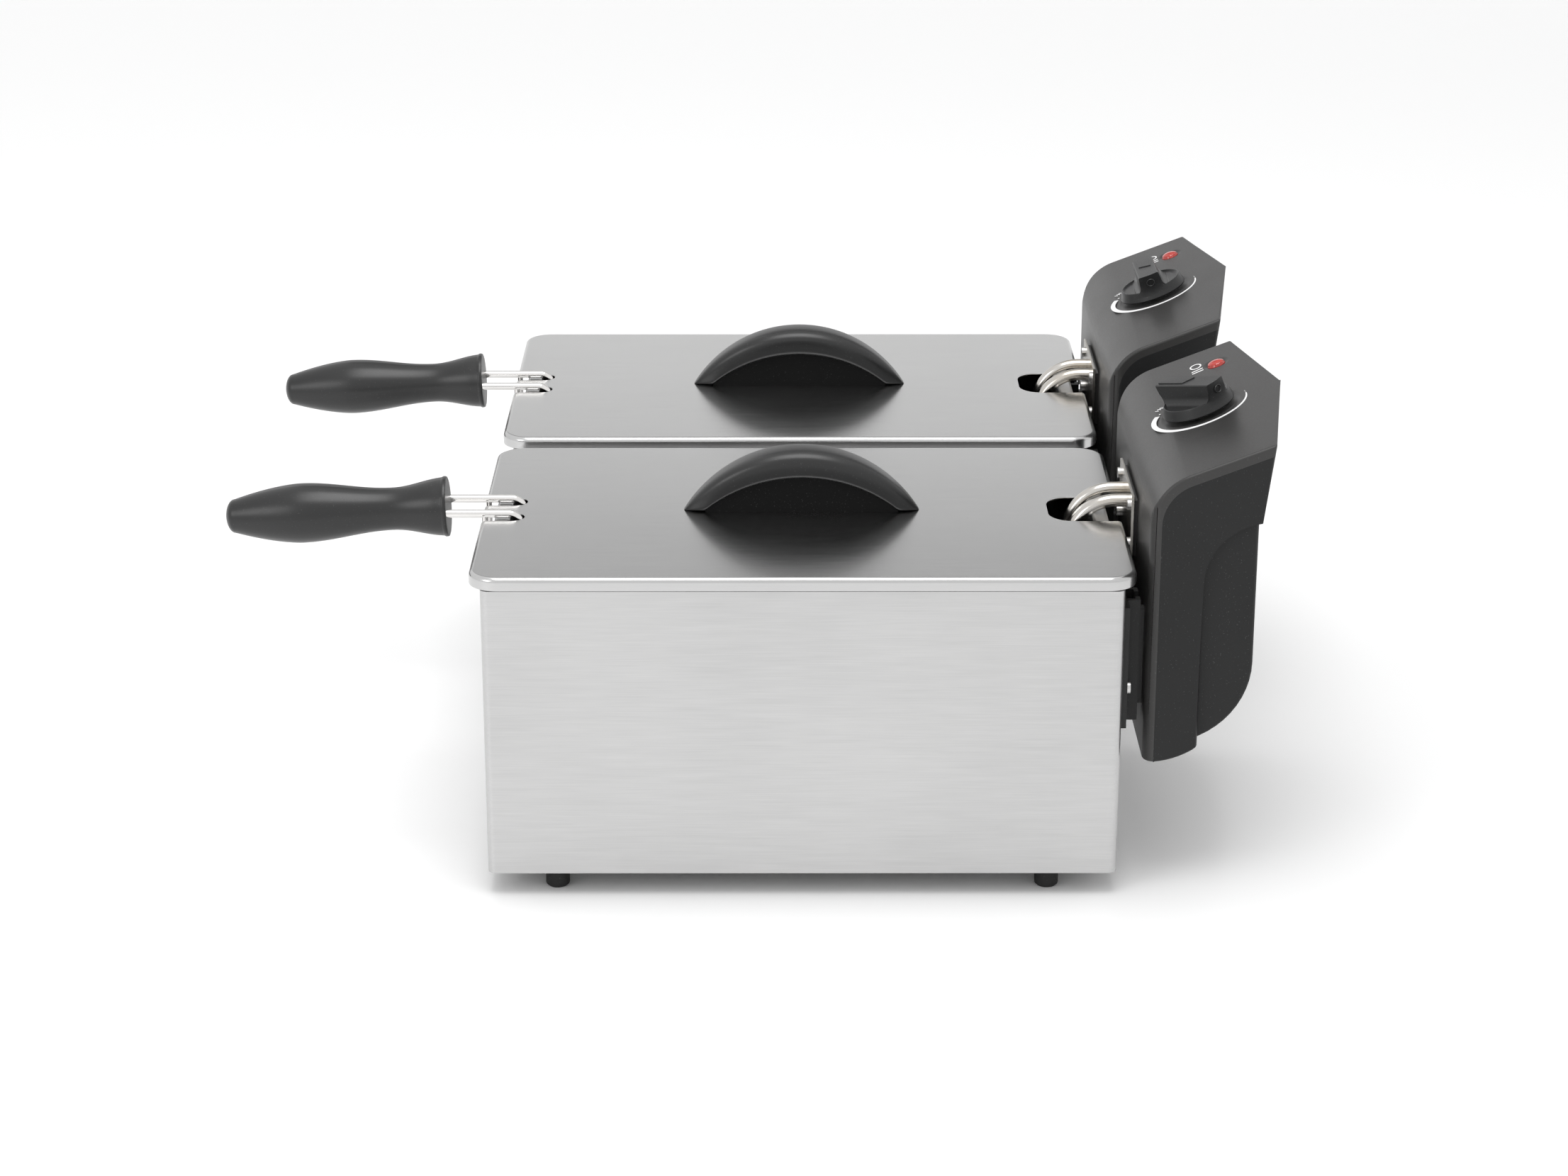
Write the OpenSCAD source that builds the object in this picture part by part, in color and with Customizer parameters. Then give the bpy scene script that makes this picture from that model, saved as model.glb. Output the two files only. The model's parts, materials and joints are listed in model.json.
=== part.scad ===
// Double deep fryer: one steel housing, two oil tanks, each with its own basket,
// lid and lift-out control unit with an immersion element.
// Origin on the floor under the centre of the housing. +Z up, -Y is the user's side,
// X runs across the two tanks. Millimetres.

/* [Housing] */
// Width of the housing across both tanks
housing_w = 417; // [390:1:500]
// Depth of the housing from front to back
housing_d = 300; // [250:1:360]
// Height of the housing from its bottom edge to its deck
housing_h = 143.4; // [120:0.1:175]
// Thickness of the housing's steel sheet
sheet_t = 1; // [0.6:0.1:1.5]
// Radius of the housing's upright corners
housing_corner_r = 4; // [3:0.5:8]
// Height of each foot
foot_h = 11; // [8:0.5:15]
// Diameter of a foot's flange
foot_d = 13; // [12:0.5:18]
// Distance of a foot's centre in from the sides
foot_inset_x = 13; // [9:0.5:30]
// Distance of a foot's centre in from the front and the back
foot_inset_y = 32.5; // [10:0.5:50]

/* [Oil tank] */
// Deck left bare between the two tank rims
mid_gap = 23.4; // [20:0.1:40]
// Distance from a tank rim to the housing's side
rim_inset_x = 1.8; // [1:0.1:6]
// Distance from a tank rim to the housing's front and back
rim_inset_y = 0.5; // [0.3:0.1:3]
// Width of the tank's rim
rim_w = 8; // [7:0.5:10]
// Height of the tank's rim above the deck
rim_h = 6.1; // [4:0.1:9]
// Thickness of the tank's sheet
tank_t = 0.8; // [0.6:0.1:1.2]
// Radius of the tank's upright corners, inside
tank_corner_r = 26; // [18:1:34]
// Radius where the tank's walls turn into its floor, inside
tank_floor_r = 30; // [15:1:32]
// Air gap between the base plate and the tank's floor
tank_air_gap = 9.2; // [5:0.1:20]

/* [Lid] */
// Thickness of the lid's sheet
lid_t = 0.8; // [0.6:0.1:1.2]
// Height of the lid's edge, from its top to the bottom of its skirt
lid_edge_h = 6.4; // [5:0.1:6.5]
// How far the lid stands out past the tank's rim at each side
lid_over_x = 4; // [2:0.1:6]
// How far the lid stands out past the tank's rim at front and back
lid_over_y = 6.2; // [4:0.1:9]
// Radius of the lid's corners
lid_corner_r = 14; // [8:1:20]
// Width of each of the two slots for the handle's wires
wire_slot_w = 12; // [10:0.5:14]
// Length of the wire slots
wire_slot_l = 21; // [19:0.5:26]
// Width of the slot for the element's tubes
tube_slot_w = 37; // [32:0.5:50]
// Length of the slot for the element's tubes
tube_slot_l = 35.4; // [34:0.1:42]

/* [Lid handle] */
// Length of the lid's handle
lid_handle_l = 115; // [90:1:140]
// Height of the lid's handle
lid_handle_h = 32; // [24:1:40]
// Width of the lid's handle at its middle
lid_handle_w = 21; // [16:1:28]
// Height of the hollow under the handle's arch
lid_handle_hollow_h = 17.5; // [14:0.5:20]
// Thickness of the web that fills the arch
lid_handle_web = 8; // [6:0.5:10]
// Distance between the lid's two screws
lid_screw_pitch = 60; // [40:1:70]

/* [Basket] */
// Room between the basket and the tank's side walls
basket_side_gap = 11.5; // [6:0.5:16]
// Room between the basket's back and the element's tubes
basket_back_gap = 5.5; // [3:0.5:12]
// Depth of the basket
basket_h = 70; // [50:1:80]
// Thickness of the basket's mesh
mesh_t = 1.2; // [0.8:0.1:2]
// Diameter of the basket's frame wire
frame_d = 4; // [3:0.5:5]
// How far the basket's frame wire lies below the deck
frame_drop = 4.4; // [3:0.1:10]

/* [Basket handle] */
// Diameter of the handle's wires
wire_d = 4; // [3:0.5:5]
// Distance between the handle's two wires
wire_pitch = 23.4; // [21:0.1:23.8]
// Diameter of the peg under each wire, which hooks the handle over the housing
peg_d = 3; // [2:0.5:3.5]
// Length of the grip
grip_l = 109; // [90:1:130]
// Radius of the grip's flange
grip_flange_r = 14.8; // [14.8:0.1:20]
// Radius of the grip's waist
grip_waist_r = 10.4; // [9:0.1:13]
// Radius of the grip's bulge
grip_bulge_r = 14.6; // [12:0.1:18]
// Radius of the grip's end
grip_end_r = 8.7; // [7:0.1:12]
// How far the grip droops below level
grip_droop = 2.8; // [0:0.1:6]
// Room between the lid's front edge and the grip
grip_gap = 17; // [12:0.5:30]

/* [Element] */
// Diameter of the element's tube
tube_d = 6.3; // [5:0.1:8]
// Distance between the two rising tubes
tube_pitch = 19; // [16:0.5:22]
// Distance from the tank's rear wall to the centre of the rising tubes
riser_gap = 10.5; // [9:0.5:16]
// Room between the lid's top and the level tubes
tube_over_lid = 4.5; // [3:0.5:8]
// Height of the lower loop above the tank's floor
low_loop_z = 20; // [14:1:30]
// Height from the lower loop to the upper loop
loop_rise = 20; // [16:1:24]
// Distance between the two long legs on one side
leg_pitch = 35; // [26:1:40]
// Radius of the element's bend over the tank's rim
rim_bend_r = 22; // [20:1:26]

/* [Control unit] */
// Width of the control unit
box_w = 178.4; // [160:0.2:186]
// Gap between the housing's rear wall and the control unit
box_gap = 11.5; // [11:0.1:15]
// How far the control unit hangs below the deck
box_drop = 90.4; // [80:0.1:105]
// Height of the start of the crown's bend above the deck
crown_z = 28; // [24:1:40]
// Radius of the bend between the front and the sloping top
crown_r = 26; // [18:1:34]
// Slope of the top
slope = 21; // [15:0.5:30]
// Depth of the control unit along its centre line
box_d = 69; // [62:0.5:85]
// Wall of the control unit's shells
wall = 2.2; // [1.8:0.1:3]
// Depth of the front shell's edge
seam_d = 5; // [4:0.5:9]
// Depth of the front column, below the hood
column_d = 25.5; // [22:0.5:32]
// Distance of the rear lobe in from the sides
lobe_step = 3.8; // [2:0.1:8]

/* [Knob] */
// Diameter of the knob
knob_d = 36; // [30:0.5:44]
// Height of the knob
knob_h = 14; // [12:1:24]
// Width of the knob's finger bar
knob_bar_w = 11; // [8:0.5:14]
// Angle that the right unit's knob is set to
knob_turn_right = 40; // [-130:1:130]
// Angle that the left unit's knob is set to
knob_turn_left = 0; // [-130:1:130]
// Diameter of the spindle
spindle_d = 6; // [5:0.5:8]
// Diameter of the pilot lens
lens_d = 9; // [7:0.5:12]

/* [Hidden] */
eps = 0.01;

// clearances
slip = 0.05;           // radial, between parts that stay together
running = 0.06;        // radial, spindle in its bush
deck_clear = 1.5;      // tank wall to the deck's opening
rail_clear = 0.5;      // tongue in its guide rail
wire_over_rim = 0.4;   // handle wires above the tank's rim
button_clear = 0.3;    // reset button in its collar

// housing
deck_z = foot_h + housing_h;
base_top = foot_h + sheet_t;
foot_x = housing_w / 2 - foot_inset_x;
foot_y = housing_d / 2 - foot_inset_y;
foot_body_d = foot_d - 1.5;
foot_flange_h = 3;
foot_well_d = 7.2;
foot_well_h = 6;
m4 = 4;
vent_w = 4;
vent_l = 42;
vent_rows = 7;

// tank and lid
rim_out_w = (housing_w - 2 * rim_inset_x - mid_gap) / 2;
rim_out_l = housing_d - 2 * rim_inset_y;
unit_x = (mid_gap + rim_out_w) / 2;
tank_w = rim_out_w - 2 * rim_w;
tank_l = rim_out_l - 2 * rim_w;
rim_z = deck_z + rim_h;
tank_floor = base_top + tank_air_gap + tank_t;
lid_w = rim_out_w + 2 * lid_over_x;
lid_l = rim_out_l + 2 * lid_over_y;
lid_top = rim_z + lid_t;
lid_screw_d = 3.6;
lid_screw_l = 11;
lid_head_d = 7;
lid_head_h = 2.2;

// element
tube_z = lid_top + tube_over_lid + tube_d / 2;
riser_y = tank_l / 2 - riser_gap;
low_z = tank_floor + low_loop_z;
high_z = low_z + loop_rise;
leg_in = tube_pitch / 2;
leg_out = leg_in + leg_pitch;
foot_bend_r = 12;
loop_front = -tank_l / 2 + 37 + leg_out;
turn_back_y = riser_y - 36;
fold_front = loop_front - 8;
bulb_d = 5;
capillary_d = 2;
bulb_l = 80;
bulb_x = 3.2;
bulb_z = high_z + tube_d / 2 + bulb_d / 2 + 1;
capillary_z = tube_z - 3.5;
capillary_bend_r = 18;

// basket and its handle
basket_w = tank_w - 2 * basket_side_gap;
wire_z = rim_z + wire_over_rim + wire_d / 2;
wire_bend_r = 1.5 * wire_d;
wire_y = -lid_l / 2 + wire_slot_l - wire_d / 2;  // flush with the end of the lid's slots
wire_level_y = wire_y - wire_bend_r;
basket_front = wire_y + wire_d / 2;
basket_rear = riser_y - tube_d / 2 - basket_back_gap;
basket_l = basket_rear - basket_front;
basket_y = (basket_rear + basket_front) / 2;
basket_corner_r = 22;
frame_z = deck_z - frame_drop;
mesh_top = frame_z - frame_d / 2;
mesh_inset = (frame_d - mesh_t) / 2;
wire_foot_z = frame_z - 38;
peg_y = -lid_l / 2 + peg_d / 2 + 0.3;
peg_end_z = deck_z - 8;
grip_y = -lid_l / 2 - grip_gap;
grip_wire_depth = 5;
grip_lip = 0.4;

// control unit, measured from its front face
box_y = housing_d / 2 + box_gap;
box_bottom = deck_z - box_drop;
crown_centre = deck_z + crown_z;
hood_z = crown_centre + 1.6;
hood_curve_r = 30;
bottom_r = 40;
rear_lean = 7.2;
chevron = 8;
lobe_d = box_d - 6.5;
lobe_bottom = box_bottom + 7.9;
lobe_r = 41.4;
lobe_w = box_w - 2 * lobe_step;
case_corner_r = 6;
crown_end = [crown_r - crown_r * sin(slope), crown_centre + crown_r * cos(slope)];
knob_v = 31.4;
knob_z = crown_end[1] + (knob_v - crown_end[0]) * tan(slope);
knob_lift = 1.2;
knob_base_h = 5.5;
knob_taper = 1.6;
knob_pointer_out = 2;
lens_pos = [-60.5, 15.7];
plate_w = 60;
plate_t = 1.2;
plate_pad = 2;
plate_top = tube_z + 9;
plate_bottom = deck_z - 8;
plate_y = box_y - plate_pad - plate_t;
plate_screw_d = 3;
plate_screw_x = plate_w / 2 - 5;
plate_screw_zs = [plate_top - 6, plate_bottom + 6];
case_screw_x = 62;
case_screw_zs = [box_bottom + 24, crown_centre - 14];
case_screw_d = 3.5;
case_head_d = 7;
well_v = 30;
well_d = case_head_d + 1;
gland_pos = [-56, box_bottom + 62];
gland_bore_d = 7.2;
gland_out_d = 13;
button_pos = [-24, box_bottom + 62];
button_d = 8;
button_travel = 2;
button_stand = 3;

// guide rails on the housing's rear wall: a channel on a base that takes two screws
rail_x = 70;
rail_w = 18;
rail_d = 9;
rail_bottom = deck_z - 72.4;
rail_top = deck_z - 12;
rail_floor = 4;
rail_base_w = 40;
rail_base_t = 3;
channel_w = 12.6;
channel_y0 = 2.5;
channel_y1 = 6.9;
mouth_w = 7;
rail_screw_d = 3.5;
rail_screw_x = 14.5;
rail_screw_zs = [rail_top - 18.7, rail_bottom + 18.7];

// points along an arc in a plane
function arc(c, r, a0, a1, n = 10) =
    [for (i = [0:n]) let (a = a0 + (a1 - a0) * i / n) [c[0] + r * cos(a), c[1] + r * sin(a)]];

// outline of a rectangle with round corners, centred
function round_rect(w, l, r, n = 6) = concat(
    arc([w / 2 - r, l / 2 - r], r, 0, 90, n), arc([-w / 2 + r, l / 2 - r], r, 90, 180, n),
    arc([-w / 2 + r, -l / 2 + r], r, 180, 270, n), arc([w / 2 - r, -l / 2 + r], r, 270, 360, n));

// eased step from a to b as t goes from 0 to 1
function ease(a, b, t) = a + (b - a) * (1 - cos(180 * t)) / 2;

module plate(w, l, r, z0, z1, n = 6) {
    translate([0, 0, z0]) linear_extrude(z1 - z0) polygon(round_rect(w, l, r, n));
}

module ring(w, l, r, t, z0, z1, n = 6) {
    difference() {
        plate(w, l, r, z0, z1, n);
        plate(w - 2 * t, l - 2 * t, max(r - t, 0.5), z0 - 1, z1 + 1, n);
    }
}

// round bar along X, Y or Z that starts at p
module bar_x(p, l, d) translate(p) rotate([0, 90, 0]) cylinder(h = l, d = d, $fn = 32);
module bar_y(p, l, d) translate(p) rotate([-90, 0, 0]) cylinder(h = l, d = d, $fn = 32);
module bar_z(p, l, d) translate(p) cylinder(h = l, d = d, $fn = 32);

// bend of a round bar in the Y-Z plane, from angle a0 on through da
module bend_yz(c, r, d, a0, da) {
    translate(c) rotate([90, 0, 90]) rotate([0, 0, a0])
        rotate_extrude(angle = da, $fn = 64) translate([r, 0]) circle(d = d, $fn = 32);
}

// bend of a round bar in the X-Y plane
module bend_xy(c, r, d, a0, da) {
    translate(c) rotate([0, 0, a0])
        rotate_extrude(angle = da, $fn = 64) translate([r, 0]) circle(d = d, $fn = 32);
}

module at_unit(side) translate([side * unit_x, 0, 0]) children();
module both_sides() for (s = [0, 1]) mirror([s, 0, 0]) children();

// pan-head screw: head on -Z side of the seat, shank along +Z
module screw(d, l, head_d, head_h) {
    difference() {
        translate([0, 0, -head_h]) cylinder(h = head_h, d = head_d, $fn = 32);
        for (a = [0, 90]) rotate([0, 0, a])
            translate([-head_d * 0.32, -0.5, -head_h - 1]) cube([head_d * 0.64, 1, 2]);
    }
    translate([0, 0, -eps]) cylinder(h = l + eps, d = d, $fn = 32);
}

// ---------------------------------------------------------------- housing

module outer_shell() {
    color("silver") difference() {
        ring(housing_w, housing_d, housing_corner_r, sheet_t, foot_h, deck_z);
        rail_screw_places() translate([0, 0, -20]) cylinder(h = 40, d = rail_screw_d + 2 * slip, $fn = 32);
    }
}

module top_deck() {
    color("lightgray") difference() {
        plate(housing_w - 2 * sheet_t, housing_d - 2 * sheet_t, housing_corner_r - sheet_t,
              deck_z - sheet_t, deck_z);
        for (s = [-1, 1]) at_unit(s)
            plate(tank_w + 2 * (tank_t + deck_clear), tank_l + 2 * (tank_t + deck_clear),
                  tank_corner_r, deck_z - 10, deck_z + 10);
    }
}

module foot_places() for (x = [-foot_x, foot_x], y = [-foot_y, foot_y]) translate([x, y, 0]) children();

module base_plate() {
    vent_step = housing_w / (vent_rows + 1);
    color("gray") difference() {
        plate(housing_w - 2 * sheet_t, housing_d - 2 * sheet_t, housing_corner_r - sheet_t,
              foot_h, base_top);
        foot_places() translate([0, 0, foot_h - 1]) cylinder(h = sheet_t + 2, d = m4 + 2 * slip, $fn = 32);
        for (i = [1:vent_rows], s = [-1, 1])
            translate([-housing_w / 2 + i * vent_step, s * housing_d / 5, foot_h - 1])
                linear_extrude(sheet_t + 2) polygon(round_rect(vent_w, vent_l, vent_w / 2 - eps, 2));
    }
}

module feet() {
    color("black") foot_places() difference() {
        union() {
            translate([0, 0, foot_h - foot_flange_h]) cylinder(h = foot_flange_h, d = foot_d, $fn = 48);
            translate([0, 0, 1]) cylinder(h = foot_h - foot_flange_h - 1 + eps, d = foot_body_d, $fn = 48);
            cylinder(h = 1 + eps, d1 = foot_body_d - 2, d2 = foot_body_d, $fn = 48);
        }
        translate([0, 0, -1]) cylinder(h = foot_well_h + 1, d = foot_well_d, $fn = 32);
        cylinder(h = foot_h + 1, d = m4 + 2 * slip, $fn = 32);
    }
}

module foot_screws() {
    length = foot_h - foot_well_h + 5;
    color("silver") foot_places() translate([0, 0, foot_well_h]) screw(m4, length, 6.6, 2.6);
}

module rail_places() for (s = [-1, 1], x = [-rail_x, rail_x])
    translate([s * unit_x + x, housing_d / 2, 0]) mirror([x < 0 ? 1 : 0, 0, 0]) children();

// each screw seat on a rail's base, head towards +Y: inner side above, outer side below
module rail_screw_places() rail_places()
    for (i = [0, 1]) translate([(i == 0 ? -1 : 1) * rail_screw_x, rail_base_t, rail_screw_zs[i]])
        rotate([90, 0, 0]) children();

module guide_rails() {
    color("black") difference() {
        rail_places() difference() {
            union() {
                translate([-rail_w / 2, 0, rail_bottom]) cube([rail_w, rail_d, rail_top - rail_bottom]);
                translate([-rail_base_w / 2, 0, rail_bottom])
                    cube([rail_base_w, rail_base_t, rail_top - rail_bottom]);
            }
            translate([-channel_w / 2, channel_y0, rail_bottom + rail_floor])
                cube([channel_w, channel_y1 - channel_y0, housing_h]);
            translate([-mouth_w / 2, channel_y0, rail_bottom + rail_floor])
                cube([mouth_w, rail_d, housing_h]);
        }
        rail_screw_places() translate([0, 0, -10]) cylinder(h = 20, d = rail_screw_d + 2 * slip, $fn = 32);
    }
}

module guide_screws() {
    color("silver") rail_screw_places() screw(rail_screw_d, rail_base_t + sheet_t + 2, 6, 1.8);
}

// ---------------------------------------------------------------- tank

// side outline of the tub, w wide: round lower corners, open above the rim
function tub_outline(w, t) =
    let (h = rim_z - tank_floor + t, outline = round_rect(w + 2 * t, 2 * h, tank_floor_r + t))
    [for (p = outline) [p[0], p[1] + h + tank_floor - t]];

// deep-drawn tub, grown outwards by t
module tub(t) {
    intersection() {
        plate(tank_w + 2 * t, tank_l + 2 * t, tank_corner_r + t, tank_floor - t, rim_z);
        translate([-tank_w, 0, 0]) rotate([90, 0, 90])
            linear_extrude(2 * tank_w) polygon(tub_outline(tank_l, t));
        translate([0, tank_l, 0]) rotate([90, 0, 0])
            linear_extrude(2 * tank_l) polygon(tub_outline(tank_w, t));
    }
}

module oil_tank(side) {
    color("lightgray") at_unit(side) {
        difference() {
            union() {
                tub(tank_t);
                plate(rim_out_w, rim_out_l, tank_corner_r, rim_z - tank_t, rim_z);
            }
            tub(0);
            plate(tank_w, tank_l, tank_corner_r, rim_z - 1.5, rim_z + 5);
        }
        ring(rim_out_w, rim_out_l, tank_corner_r, tank_t, deck_z, rim_z - tank_t + eps);
    }
}

// ---------------------------------------------------------------- lid

module wire_slot(x) {
    translate([x, -lid_l / 2 + wire_slot_l - wire_slot_w / 2, 0]) union() {
        cylinder(h = lid_top + 10, d = wire_slot_w, $fn = 48);
        translate([-wire_slot_w / 2, -wire_slot_l, 0]) cube([wire_slot_w, wire_slot_l, lid_top + 10]);
    }
}

module lid(side) {
    slot_r = 12;
    color("gainsboro") at_unit(side) difference() {
        plate(lid_w, lid_l, lid_corner_r, lid_top - lid_edge_h, lid_top, 8);
        plate(lid_w - 2 * lid_t, lid_l - 2 * lid_t, lid_corner_r - lid_t,
              lid_top - lid_edge_h - 1, lid_top - lid_t, 8);
        for (x = [-wire_pitch / 2, wire_pitch / 2]) wire_slot(x);
        translate([0, lid_l / 2, 0])
            plate(tube_slot_w, 2 * tube_slot_l, slot_r, 0, lid_top + 10, 8);
        for (y = [-lid_screw_pitch / 2, lid_screw_pitch / 2])
            translate([0, y, lid_top - 3]) cylinder(h = 6, d = lid_screw_d + 2 * slip, $fn = 32);
    }
}

module lid_handle(side) {
    half = lid_handle_l / 2;
    h = lid_handle_h;
    r_out = (half * half + h * h) / (2 * h);
    inner_half = half - 10.5;
    hi = lid_handle_hollow_h;
    r_in = (inner_half * inner_half + hi * hi) / (2 * hi);
    a_out = asin(half / r_out);
    a_in = asin(inner_half / r_in);
    outer_arc = arc([0, h - r_out], r_out, 90 - a_out, 90 + a_out, 24);
    inner_arc = arc([0, hi - r_in], r_in, 90 + a_in, 90 - a_in, 20);
    // plan outline: wide in the middle, narrow rounded tips
    plan = [for (i = [0:32]) let (t = -1 + i / 16)
            [half * t, lid_handle_w / 2 * pow(1 - pow(abs(t), 2.6), 0.6) + 0.8]];
    color("dimgray") at_unit(side) difference() {
        translate([0, 0, lid_top]) intersection() {
            union() {
                rotate([90, 0, 90]) translate([0, 0, -lid_handle_w])
                    linear_extrude(2 * lid_handle_w) polygon(concat(outer_arc, inner_arc));
                rotate([90, 0, 90]) translate([0, 0, -lid_handle_web / 2])
                    linear_extrude(lid_handle_web) polygon(outer_arc);
            }
            linear_extrude(h + 1) polygon(concat(
                [for (p = plan) [p[1], p[0]]],
                [for (i = [len(plan) - 1:-1:0]) [-plan[i][1], plan[i][0]]]));
        }
        for (y = [-lid_screw_pitch / 2, lid_screw_pitch / 2]) translate([0, y, lid_top - 1])
            cylinder(h = lid_screw_l + 1, d = lid_screw_d + 2 * slip, $fn = 32);
    }
}

module lid_screws(side) {
    color("silver") at_unit(side) for (y = [-lid_screw_pitch / 2, lid_screw_pitch / 2])
        translate([0, y, lid_top - lid_t]) screw(lid_screw_d, lid_screw_l - 1, lid_head_d, lid_head_h);
}

// ---------------------------------------------------------------- basket

module basket(side) {
    w = basket_w - 2 * mesh_inset;
    l = basket_l - 2 * mesh_inset;
    bottom = mesh_top - basket_h;
    color("silver") at_unit(side) translate([0, basket_y, 0]) {
        ring(w, l, basket_corner_r, mesh_t, bottom, mesh_top);
        plate(w - 2 * mesh_t, l - 2 * mesh_t, basket_corner_r - mesh_t, bottom, bottom + mesh_t);
    }
}

module basket_frame(side) {
    r = basket_corner_r - frame_d / 2;
    hx = basket_w / 2 - frame_d / 2;
    hy = basket_l / 2 - frame_d / 2;
    color("silver") at_unit(side) translate([0, basket_y, frame_z]) {
        for (s = [-1, 1]) {
            bar_y([s * hx, -hy + r, 0], 2 * (hy - r), frame_d);
            bar_x([-hx + r, s * hy, 0], 2 * (hx - r), frame_d);
        }
        for (a = [0:3]) let (sx = (a == 0 || a == 3) ? 1 : -1, sy = a < 2 ? 1 : -1)
            bend_xy([sx * (hx - r), sy * (hy - r), 0], r, frame_d, 90 * a, 90);
    }
}

module handle_wires(side) {
    foot_r = 7;
    color("silver") at_unit(side) {
        for (x = [-wire_pitch / 2, wire_pitch / 2]) {
            bar_y([x, grip_y - grip_wire_depth, wire_z], wire_level_y - grip_y + grip_wire_depth, wire_d);
            bend_yz([x, wire_level_y, wire_z - wire_bend_r], wire_bend_r, wire_d, 0, 90);
            bar_z([x, wire_y, wire_foot_z + foot_r], wire_z - wire_bend_r - wire_foot_z - foot_r, wire_d);
            bar_z([x, peg_y, peg_end_z], wire_z - peg_end_z, peg_d);
        }
        bar_x([-wire_pitch / 2 + foot_r, wire_y, wire_foot_z], wire_pitch - 2 * foot_r, wire_d);
        for (s = [-1, 1]) translate([s * (wire_pitch / 2 - foot_r), wire_y, wire_foot_z + foot_r])
            rotate([90, 0, 0]) rotate([0, 0, s > 0 ? -90 : 180])
                rotate_extrude(angle = 90, $fn = 64) translate([foot_r, 0]) circle(d = wire_d, $fn = 32);
    }
}

// radius of the grip at distance u from its flange face
function grip_r(u) =
    let (waist = grip_l * 0.25, bulge = grip_l * 0.66, tail = grip_l * 0.955)
    u < waist ? ease(grip_flange_r - grip_lip, grip_waist_r, u / waist) :
    u < bulge ? ease(grip_waist_r, grip_bulge_r, (u - waist) / (bulge - waist)) :
    u < tail ? ease(grip_bulge_r, grip_end_r, pow((u - bulge) / (tail - bulge), 1.1)) :
    grip_end_r * sqrt(max(0, 1 - pow((u - tail) / (grip_l - tail), 2)));

module handle_grip(side) {
    steps = 30;
    flange_t = 2.4;
    stations = [for (i = [0:steps]) flange_t + (grip_l - flange_t) * (1 - pow(1 - i / steps, 1.4))];
    outline = concat([[0, 0], [grip_flange_r - 1, 0], [grip_flange_r, 1], [grip_flange_r, flange_t - 0.6]],
                     [for (u = stations) [grip_r(u), u]]);
    color("dimgray") at_unit(side) difference() {
        translate([0, grip_y, wire_z]) rotate([90 + grip_droop, 0, 0])
            rotate_extrude($fn = 64) polygon(outline);
        for (x = [-wire_pitch / 2, wire_pitch / 2])
            bar_y([x, grip_y - grip_wire_depth - 0.5, wire_z], grip_wire_depth + 10, wire_d + 2 * slip);
    }
}

// ---------------------------------------------------------------- element

// half of the element: one end inside the control unit, round to the middle of the lower loop
module half_element() {
    c = rim_bend_r;
    bar_y([leg_in, riser_y + c, tube_z], box_y + 16 - riser_y - c, tube_d);
    bend_yz([leg_in, riser_y + c, tube_z - c], c, tube_d, 90, 90);
    bar_z([leg_in, riser_y, high_z + foot_bend_r], tube_z - c - high_z - foot_bend_r, tube_d);
    bend_yz([leg_in, riser_y - foot_bend_r, high_z + foot_bend_r], foot_bend_r, tube_d, 270, 90);
    bar_y([leg_in, fold_front, high_z], riser_y - foot_bend_r - fold_front, tube_d);
    bend_xy([(leg_in + leg_out) / 2, fold_front, high_z], leg_pitch / 2, tube_d, 180, 180);
    bar_y([leg_out, fold_front, high_z], turn_back_y - fold_front, tube_d);
    bend_yz([leg_out, turn_back_y, (low_z + high_z) / 2], loop_rise / 2, tube_d, 270, 180);
    bar_y([leg_out, loop_front, low_z], turn_back_y - loop_front, tube_d);
    bend_xy([0, loop_front, low_z], leg_out, tube_d, 270, 90);
}

module heating_element(side) {
    color("silver") at_unit(side) both_sides() half_element();
}

module element_clamps(side) {
    strip_t = 1.5;
    strip_y = -10;
    riser_clamp_z = high_z + 48;
    color("silver") at_unit(side) difference() {
        union() {
            translate([-leg_out - 7, strip_y, low_z - 7])
                cube([2 * leg_out + 14, strip_t, loop_rise + 14]);
            translate([-leg_in - 6, riser_y - 6, riser_clamp_z]) cube([2 * leg_in + 12, 12, strip_t * 2]);
        }
        for (x = [-leg_in, leg_in]) {
            bar_y([x, strip_y - 5, high_z], 15, tube_d + 2 * slip);
            bar_z([x, riser_y, riser_clamp_z - 5], 20, tube_d + 2 * slip);
        }
        for (x = [-leg_out, leg_out], z = [low_z, high_z]) bar_y([x, strip_y - 5, z], 15, tube_d + 2 * slip);
        for (x = [-bulb_x, bulb_x]) bar_z([x, riser_y, riser_clamp_z - 5], 20, capillary_d + 2 * slip);
    }
}

module element_plate(side) {
    color("gainsboro") at_unit(side) difference() {
        translate([-plate_w / 2, plate_y, plate_bottom]) cube([plate_w, plate_t, plate_top - plate_bottom]);
        for (x = [-leg_in, leg_in]) bar_y([x, plate_y - 5, tube_z], 12, tube_d + 2 * slip);
        for (x = [-bulb_x, bulb_x]) bar_y([x, plate_y - 5, capillary_z], 12, capillary_d + 2 * slip);
        plate_screw_places() translate([0, 0, -5]) cylinder(h = 12, d = plate_screw_d + 2 * slip, $fn = 32);
    }
}

module plate_screw_places() for (x = [-plate_screw_x, plate_screw_x], z = plate_screw_zs)
    translate([x, plate_y, z]) rotate([-90, 0, 0]) children();

module plate_screws(side) {
    color("silver") at_unit(side) plate_screw_places()
        screw(plate_screw_d, plate_t + plate_pad + wall + 2, 5.4, 1.6);
}

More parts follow.
